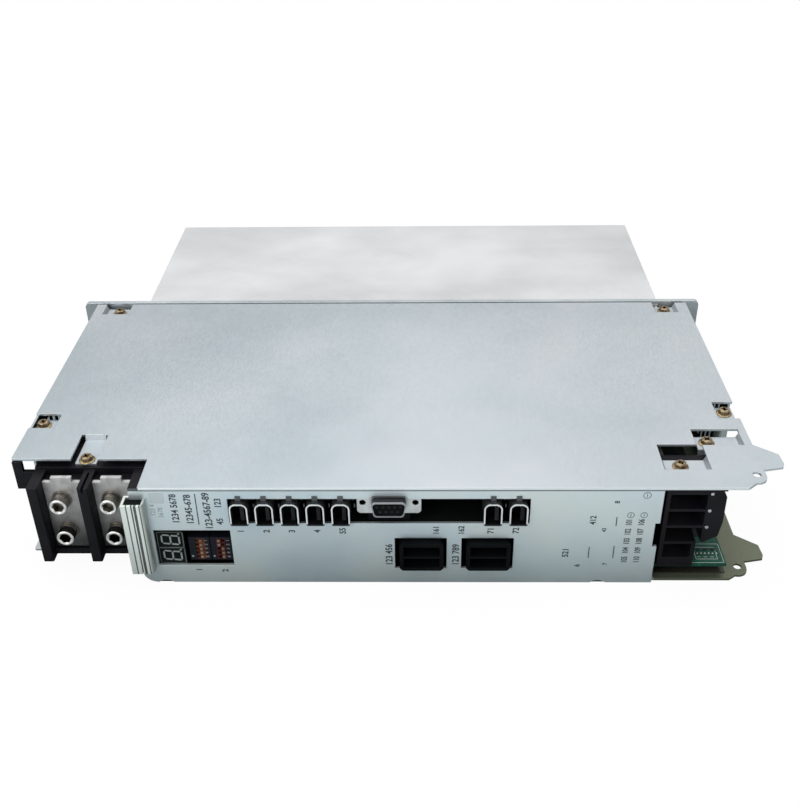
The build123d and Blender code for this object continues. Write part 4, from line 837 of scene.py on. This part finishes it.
def digitFaces():
    look = dict(width=0.85 * mm, tall=9.3 * mm, wide=6.1 * mm, gap=0.28 * mm, lift=0.12 * mm,
                deep=0.3 * mm, slant=0.10, pointRadius=0.5 * mm, pointGap=1.0 * mm, rim=0.55 * mm,
                rimRise=0.22 * mm)
    lit = bmesh.new()
    rims = bmesh.new()
    half = look["width"] / 2

    def bar(length, turned):
        body = length / 2 - look["gap"]
        points = [(-body, 0), (-body + half, half), (body - half, half), (body, 0),
                  (body - half, -half), (-body + half, -half)]
        return [(-y, x) for x, y in points] if turned else points

    for node in ("digit_display_upper", "digit_display_lower"):
        low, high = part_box(node)
        centre = (low + high) / 2
        arm = look["wide"] - look["width"]
        limb = (look["tall"] - look["width"]) / 2
        bars = [(0, level * limb, bar(arm, False)) for level in (-1, 0, 1)]
        bars += [(side * arm / 2, level * limb / 2, bar(limb, True))
                 for side in (-1, 1) for level in (-1, 1)]
        back = low.y + look["deep"] - look["lift"]
        for across, along, outline in bars:
            leaned = [(x + across + look["slant"] * (y + along), y + along) for x, y in outline]
            addPrism(lit, leaned, look["deep"], (centre.x, back, centre.z), readingUp)
        corner = (centre.x + limb, back, centre.z + arm / 2 + look["pointGap"])
        addPrism(lit, ringOutline(20, look["pointRadius"]), look["deep"], corner, readingUp)
        thin = look["rim"] * 0.6
        for first, last in (((high.x - look["rim"], low.z), (high.x, high.z)),
                            ((low.x, low.z), (low.x + thin, high.z)),
                            ((low.x, low.z), (high.x, low.z + thin)),
                            ((low.x, high.z - thin), (high.x, high.z))):
            addBox(rims, (first[0], low.y - look["rimRise"], first[1]),
                   (last[0], low.y + 0.1 * mm, last[1]))
    keep(meshFrom("digitSegments", lit), finishes["segmentGrey"])
    keep(meshFrom("digitRims", rims), finishes["rimGrey"])


def textMesh(text, size, thick, weight):
    curve = bpy.data.curves.new("mark", "FONT")
    curve.body = text
    curve.size = size
    curve.extrude = thick / 2
    curve.offset = size * weight
    curve.resolution_u = 3
    curve.align_x = "CENTER"
    curve.align_y = "CENTER"
    typed = newObject("mark", curve)
    bpy.context.view_layer.update()
    mesh = bpy.data.meshes.new_from_object(typed.evaluated_get(bpy.context.evaluated_depsgraph_get()))
    bpy.data.objects.remove(typed)
    return mesh


def addText(solid, text, size, place, turn, weight=0.02, squeeze=1.0, thick=0.04 * mm):
    mesh = textMesh(text, size, thick, weight)
    mesh.transform(Matrix.Translation(place) @ turn.to_4x4() @ Matrix.Diagonal((squeeze, 1, 1, 1)))
    solid.from_mesh(mesh)
    bpy.data.meshes.remove(mesh)


def switchMarks():
    look = dict(size=2.0 * mm, numberShift=3.4 * mm, dotShift=-3.9 * mm, dotRadius=0.55 * mm,
                lift=0.03 * mm)
    solid = bmesh.new()
    for side in ("left", "right"):
        low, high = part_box(f"dip_switch_{side}")
        centre = (low + high) / 2
        front = low.y - look["lift"]
        for number in range(1, 6):
            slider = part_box(f"dip_slider_{side}_{number}")
            z = (slider[0].z + slider[1].z) / 2
            addText(solid, str(number), look["size"], (centre.x + look["numberShift"], front, z), readingUp)
        addPrism(solid, ringOutline(24, look["dotRadius"]), 0.05 * mm,
                 (centre.x + look["dotShift"], front + 0.05 * mm, low.z + 2.4 * mm), facingFront)
    keep(meshFrom("switchMarks", solid), finishes["markGrey"])


digitFaces()
switchMarks()
print("stage: digits and switches")


# contacts

def linkContacts():
    look = dict(count=10, pitch=0.75 * mm, size=(0.08 * mm, 3.6 * mm, 0.34 * mm), tongue=1.8 * mm,
                tongueShift=0.75 * mm, inset=1.4 * mm, lowest=2.9 * mm, stand=0.03 * mm,
                tipGrow=0.06 * mm)
    shells = solidsOf("link_socket_shells")
    points = []
    for shell in shells:
        x = middle(shell).x + look["tongueShift"]
        y = shell[0].y + look["inset"]
        points += [(x - look["stand"], y, shell[0].z),
                   (x + look["tongue"] + look["stand"], y, shell[0].z)]
    piece = growFrom("linkContacts", rowOfBlocks, points, {
        "Count": look["count"], "Start": (0.0, look["size"][1] / 2, look["lowest"]),
        "Step": (0.0, 0.0, look["pitch"]), "Size": look["size"], "Finish": finishes["contactGold"]})
    keep(piece, None)
    tip = bmesh.new()
    grow = look["tipGrow"]
    addBox(tip, (-grow, -grow, 0), (look["tongue"] + grow, 0.9 * mm, 8.1 * mm), 0.2 * mm)
    tips = [(middle(shell).x + look["tongueShift"], shell[0].y + 1.0 * mm, shell[0].z + 2.65 * mm)
            for shell in shells]
    copies("tongueTips", meshFrom("tonguePart", tip), tips, finishes["tongueGrey"])
    print("stage: contacts of", len(shells), "link sockets")


def earthSprings():
    # small bright springs beside each socket, two to a gap
    look = dict(width=0.8 * mm, height=2.2 * mm, thick=0.25 * mm, side=6.3 * mm, upper=11.6 * mm,
                lower=7.2 * mm, depth=6.5 * mm)
    w = look["width"] / 2
    h = look["height"] / 2
    solid = bmesh.new()
    addBox(solid, (-w, 0, -h), (w, look["thick"], h), 0.08 * mm)
    places = []
    for shell in solidsOf("link_socket_shells"):
        x = middle(shell).x + look["side"]
        y = shell[0].y + look["depth"]
        places += [(x - 0.5 * mm, y, shell[0].z + look["upper"]), (x, y, shell[0].z + look["lower"])]
    copies("earthSprings", meshFrom("springPart", solid), places, finishes["socketShell"])


def serviceContacts():
    look = dict(outer=0.52 * mm, inner=0.33 * mm, deep=3.0 * mm, rows=((1.42 * mm, 5), (-1.42 * mm, 4)),
                pitch=2.77 * mm, sunk=0.1 * mm)
    solid = bmesh.new()
    base = look["deep"] - 0.2 * mm
    addLathe(solid, [(0, look["deep"]), (look["outer"], look["deep"]), (look["outer"], 0),
                     (look["inner"], 0), (look["inner"], base), (0, base)], 20)
    part = meshFrom("sleevePart", solid)
    part.data.transform(Matrix.Rotation(math.radians(-90), 4, "X"))
    smoothBy(part, 40)
    shell = middle(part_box("dsub_shell"))
    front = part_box("dsub_insert")[0].y
    places = [(shell.x + (i - (count - 1) / 2) * look["pitch"], front + look["sunk"], shell.z + row)
              for row, count in look["rows"] for i in range(count)]
    copies("serviceContacts", part, places, finishes["contactGold"])


linkContacts()
earthSprings()
serviceContacts()


# printed marks on the front plate

def plateMarks():
    # places are from the plate's left edge and underside; every mark is a plain number or sign
    look = dict(lift=0.03 * mm, ruleWidth=0.5 * mm, weight=0.026, squeeze=0.9, listSqueeze=0.68)
    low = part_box("front_plate")[0]
    front = low.y - look["lift"] * 0.5
    solid = bmesh.new()
    upwards = [  # text, size, distance from the left edge, height of its middle
        ("1234 5678", 4.6, 20.8, 46.2), ("12345-678", 4.6, 27.6, 45.8), ("123-4567-89", 4.8, 36.4, 44.8),
        ("123", 4.4, 41.8, 49.6), ("45", 4.4, 41.8, 38.6), ("1", 4.0, 28.4, 8.1), ("2", 4.0, 41.2, 7.6),
        ("1", 4.2, 51.2, 32.6), ("2", 4.2, 63.6, 32.6), ("3", 4.2, 75.8, 32.6), ("4", 4.2, 88.0, 32.6),
        ("55", 4.2, 100.2, 32.8), ("123 456", 4.6, 122.2, 17.8), ("123 789", 4.6, 154.5, 17.8),
        ("161", 4.0, 144.9, 33.2), ("162", 4.0, 157.0, 33.2), ("71", 4.2, 171.0, 33.0),
        ("72", 4.2, 183.0, 33.0), ("8", 3.4, 229.6, 50.2), ("412", 4.0, 219.2, 39.4),
        ("43", 2.8, 224.9, 33.4), ("521", 4.2, 207.6, 19.2), ("6", 3.8, 213.8, 11.0),
        ("7", 3.0, 227.2, 12.0)]
    for text, size, x, z in upwards:
        addText(solid, text, size * mm, (low.x + x * mm, front, low.z + z * mm), readingUp,
                look["weight"], look["squeeze"])
    for column, x in enumerate((236.3, 242.2)):
        for row, z in enumerate((38.0, 32.2, 26.4, 20.6, 14.8)):
            addText(solid, str(101 + 5 * column + row), 4.0 * mm,
                    (low.x + x * mm, front, low.z + z * mm), readingUp, look["weight"],
                    look["listSqueeze"])
    rules = [(31.4, 36.6, 55.2), (218.7, 15.8, 22.8), (230.6, 15.8, 23.4), (230.2, 35.8, 41.3)]
    for x, bottom, top in rules:
        centre = low.x + x * mm
        addBox(solid, (centre - look["ruleWidth"] / 2, front - 0.02 * mm, low.z + bottom * mm),
               (centre + look["ruleWidth"] / 2, low.y + 0.02 * mm, low.z + top * mm))
    for x, z, radius in ((243.0, 54.2, 1.9), (236.6, 42.4, 1.7), (242.8, 42.4, 1.7)):
        addRing(solid, (low.x + x * mm, front, low.z + z * mm), radius * mm, 0.28 * mm)
        addBox(solid, (low.x + (x - 0.14) * mm, front - 0.02 * mm, low.z + (z - radius * 0.6) * mm),
               (low.x + (x + 0.14) * mm, low.y + 0.02 * mm, low.z + (z + radius * 0.6) * mm))
    keep(meshFrom("plateMarks", solid), finishes["markInk"])
    faint = bmesh.new()
    for text, x, z in (("123 4", 10.4, 45.4), ("5678", 14.0, 44.0)):
        addText(faint, text, 3.4 * mm, (low.x + x * mm, front, low.z + z * mm), readingUp,
                0.0, look["squeeze"])
    keep(meshFrom("faintMarks", faint), finishes["markFaint"])


def blankLabel():
    # small blank label with rounded corners near the plate's top left corner
    look = dict(left=9.6, right=16.4, bottom=49.6, top=55.6, corner=1.0, thick=0.06)
    low = plateBox[0]
    outline = []
    for x, z, start in ((look["right"], look["top"], 0), (look["left"], look["top"], 90),
                        (look["left"], look["bottom"], 180), (look["right"], look["bottom"], 270)):
        cx = x - look["corner"] * (1 if start in (0, 270) else -1)
        cz = z - look["corner"] * (1 if start in (0, 90) else -1)
        for step in range(5):
            angle = math.radians(start + 22.5 * step)
            outline.append(((cx + look["corner"] * math.cos(angle)) * mm,
                            (cz + look["corner"] * math.sin(angle)) * mm))
    solid = bmesh.new()
    addPrism(solid, outline, look["thick"] * mm, (low.x, low.y + 0.02 * mm, low.z), facingFront)
    keep(meshFrom("blankLabel", solid), finishes["labelFilm"])


def addRing(solid, place, radius, width):
    # flat printed circle that faces the front
    sides = 36
    half = 0.02 * mm
    inner = radius - width
    rings = [[solid.verts.new(Vector((x, y, z)) + Vector(place)) for x, z in ringOutline(sides, r)]
             for r, y in ((radius, -half), (inner, -half), (inner, half), (radius, half))]
    for k in range(4):
        for i in range(sides):
            j = (i + 1) % sides
            solid.faces.new((rings[k][i], rings[k][j], rings[(k + 1) % 4][j], rings[(k + 1) % 4][i]))


def boardCorner():
    # the power board's bare corner beside the motor terminals: white print, pads and small chips
    # dashes, pads and chips run along X in millimetres from the print's left edge
    look = dict(line=0.22 * mm, inset=0.9 * mm, depth=14 * mm, start=0.62, frames=(0.0, 2.6 * mm),
                dash=(3.4, 5.2), dashStep=3.2, dashRow=4.2 * mm, dashes=3,
                pads=6, padSize=1.0 * mm, padStart=4.0, padStep=1.9, padRow=7.0 * mm,
                chips=3, chipHalf=(1.0 * mm, 0.6 * mm), chipHeight=0.55 * mm, chipStart=5.0,
                chipStep=3.6, chipRow=9.6 * mm, chipSeed=5)
    low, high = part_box("power_board")
    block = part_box("motor_terminal_block")
    top = high.z
    x0 = block[0].x + (block[1].x - block[0].x) * look["start"]
    x1 = high.x - look["inset"]
    y0 = low.y + look["inset"]
    y1 = y0 + look["depth"]
    printed = bmesh.new()

    def stroke(xa, ya, xb, yb):
        w = look["line"] / 2
        addBox(printed, (xa - w, ya - w, top - 0.01 * mm), (xb + w, yb + w, top + 0.03 * mm))

    for inset in look["frames"]:
        left, right, near, beyond = x0 + inset, x1 - inset, y0 + inset, y1 - inset
        stroke(left, near, right, near)
        stroke(left, beyond, right, beyond)
        stroke(left, near, left, beyond)
        stroke(right, near, right, beyond)
    for i in range(look["dashes"]):
        left, right = (x0 + (end + look["dashStep"] * i) * mm for end in look["dash"])
        stroke(left, y0 + look["dashRow"], right, y0 + look["dashRow"])
    keep(meshFrom("boardPrint", printed), finishes["markWhite"])
    pad = bmesh.new()
    addLathe(pad, [(0, 0), (look["padSize"] / 2, 0), (look["padSize"] * 0.42, 0.18 * mm),
                   (0.0, 0.42 * mm)], 16)
    part = meshFrom("padPart", pad)
    smoothBy(part, 60)
    places = [(x0 + (look["padStart"] + look["padStep"] * i) * mm, y0 + look["padRow"], top)
              for i in range(look["pads"])]
    copies("solderDots", part, places, finishes["tinnedBar"])
    chip = bmesh.new()
    across, along = look["chipHalf"]
    addBox(chip, (-across, -along, 0), (across, along, look["chipHeight"]), 0.08 * mm)
    places = [(x0 + (look["chipStart"] + look["chipStep"] * i) * mm, y0 + look["chipRow"], top)
              for i in range(look["chips"])]
    copies("smallResistors", meshFrom("resistorPart", chip), places, finishes["chipBlack"],
           turn=math.radians(5), seed=look["chipSeed"])


def notchBacks():
    # painted shade: dark strips inside the case, seen through the two finger notches in the plate's lower
    # edge, standing in for the shade behind them
    look = dict(places=(11.1, 224.6), half=4.6 * mm, height=1.9 * mm, behind=0.3 * mm, thick=1.0 * mm)
    low = plateBox[0]
    solid = bmesh.new()
    for place in look["places"]:
        x = low.x + place * mm
        addBox(solid, (x - look["half"], low.y + look["behind"], low.z + 0.1 * mm),
               (x + look["half"], low.y + look["behind"] + look["thick"], low.z + look["height"]), 0.2 * mm)
    keep(meshFrom("notchBacks", solid), finishes["connectorBlack"])


def darkFillers():
    # painted shade: black blocks behind the display window's edge and inside the catch's channel, standing
    # in for the shade there
    look = dict(reach=3.0 * mm, over=1.5 * mm, gap=0.25 * mm, depth=3.0 * mm, plate=1.5 * mm,
                wall=1.25 * mm, rightWall=1.4 * mm, drop=0.15 * mm, soften=0.2 * mm)
    solid = bmesh.new()
    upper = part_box("digit_display_upper")
    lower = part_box("digit_display_lower")
    behindPlate = plateBox[0].y + look["plate"] + look["gap"]
    addBox(solid, (lower[0].x - look["reach"], behindPlate, lower[0].z - look["over"]),
           (lower[0].x - 0.05 * mm, behindPlate + look["depth"], upper[1].z + look["over"]),
           look["soften"])
    low, high = catchBox
    addBox(solid, (low.x + look["wall"], low.y + look["wall"], low.z + look["drop"]),
           (high.x - look["rightWall"], plateBox[0].y - 0.05 * mm, high.z - look["drop"]),
           look["soften"])
    keep(meshFrom("darkFillers", solid), finishes["connectorBlack"])


plateMarks()
blankLabel()
darkFillers()
notchBacks()
boardCorner()
print("stage: printed marks")


# floor, light and camera

def floorFinish():
    # white where it is seen, and graded from front to back where it lights the object
    look = dict(seen=(1.0, 1.0, 1.0, 1.0), glow=0.95, nearTone=(0.24, 0.265, 0.265),
                farTone=(0.82, 0.87, 0.89), reach=110 * mm)
    finish, tree, shader = startFinish("paleFloor")
    tree.nodes.remove(shader)
    add = tree.nodes.new
    join = tree.links.new
    leave = tree.nodes["Material Output"]
    kind = add("ShaderNodeLightPath")
    plain = setInputs(add("ShaderNodeBsdfDiffuse"), {"Color": (0.9, 0.9, 0.9, 1)})
    glow = setInputs(add("ShaderNodeEmission"), {"Color": look["seen"], "Strength": 1.0})
    lit = setInputs(add("ShaderNodeMixShader"), {0: look["glow"]})
    dull = add("ShaderNodeBsdfDiffuse")
    ahead = spread(tree, axesOf(tree)["Y"], 1.0, 0.0, plateBox[0].y - look["reach"], plateBox[0].y)
    join(mixed(tree, ahead, look["nearTone"], look["farTone"]), dull.inputs["Color"])
    both = add("ShaderNodeMixShader")
    join(plain.outputs[0], lit.inputs[1])
    join(glow.outputs[0], lit.inputs[2])
    join(kind.outputs["Is Camera Ray"], both.inputs[0])
    join(dull.outputs[0], both.inputs[1])
    join(lit.outputs[0], both.inputs[2])
    join(both.outputs[0], leave.inputs["Surface"])
    return finish


def makeFloor():
    half = 6.0
    solid = bmesh.new()
    z = cadBounds[0].z
    square = ((-half, -half), (half, -half), (half, half), (-half, half))
    solid.faces.new([solid.verts.new((x, y, z)) for x, y in square])
    floor = meshFrom("floor", solid)
    floor.data.materials.append(floorFinish())


def makeWorld():
    # pale studio dome, darker near the horizon and brighter overhead
    look = dict(stops=((0.0, 0.42), (0.36, 0.50), (0.50, 0.74), (0.66, 1.0), (1.0, 1.05)),
                strength=0.95)
    world = bpy.data.worlds.new("studio")
    world.use_nodes = True
    bpy.context.scene.world = world
    tree = world.node_tree
    add = tree.nodes.new
    join = tree.links.new
    backdrop = tree.nodes["Background"]
    place = add("ShaderNodeTexCoord")
    parts = add("ShaderNodeSeparateXYZ")
    ramp = add("ShaderNodeValToRGB")
    join(place.outputs["Generated"], parts.inputs[0])
    join(parts.outputs["Z"], ramp.inputs[0])
    while len(ramp.color_ramp.elements) < len(look["stops"]):
        ramp.color_ramp.elements.new(0.5)
    for element, (position, value) in zip(ramp.color_ramp.elements, look["stops"]):
        element.position = position
        element.color = (value * 0.985, value, value * 1.01, 1)
    join(ramp.outputs[0], backdrop.inputs["Color"])
    backdrop.inputs["Strength"].default_value = look["strength"]
    kind = add("ShaderNodeLightPath")
    plain = setInputs(add("ShaderNodeBackground"), {"Color": (1, 1, 1, 1)})
    both = add("ShaderNodeMixShader")
    join(kind.outputs["Is Camera Ray"], both.inputs[0])
    join(backdrop.outputs[0], both.inputs[1])
    join(plain.outputs[0], both.inputs[2])
    join(both.outputs[0], tree.nodes["World Output"].inputs["Surface"])


lights = {
    "overhead": dict(place=(-0.2, 0.2, 1.3), target=(0, -0.05, 0), size=(1.6, 1.2), power=9.0),
    "frontLeft": dict(place=(-0.9, -1.2, 0.9), target=(0, -0.15, 0), size=(0.9, 0.7), power=7.0),
}


def softLight(name, look):
    lamp = bpy.data.lights.new(name, "AREA")
    lamp.shape = "RECTANGLE"
    lamp.size, lamp.size_y = look["size"]
    lamp.energy = look["power"]
    holder = newObject(name, lamp)
    holder.location = look["place"]
    holder.rotation_mode = "QUATERNION"
    aim = Vector(look["target"]) - Vector(look["place"])
    holder.rotation_quaternion = aim.to_track_quat("-Z", "Y")


def makeCamera():
    look = dict(place=(0.01875, -0.5745, 0.3232), pitch=32.809, yaw=-1.361, roll=-0.862, lens=46.15)
    pitch, yaw, roll = (math.radians(look[key]) for key in ("pitch", "yaw", "roll"))
    ahead = Vector((math.sin(yaw) * math.cos(pitch), math.cos(yaw) * math.cos(pitch), -math.sin(pitch)))
    level = Vector((math.cos(yaw), -math.sin(yaw), 0))
    rise = level.cross(ahead)
    side = level * math.cos(roll) + rise * math.sin(roll)
    top = rise * math.cos(roll) - level * math.sin(roll)
    lens = bpy.data.cameras.new("camera")
    lens.lens = look["lens"]
    lens.sensor_width = 36.0
    lens.clip_start = 0.01
    camera = newObject("camera", lens)
    turn = Matrix((side, top, -ahead)).transposed().to_4x4()
    camera.matrix_world = Matrix.Translation(look["place"]) @ turn
    bpy.context.scene.camera = camera


makeFloor()
makeWorld()
for lightName, lightLook in lights.items():
    softLight(lightName, lightLook)
makeCamera()
bpy.context.scene.view_settings.view_transform = "Standard"
print("stage: floor, light and camera")
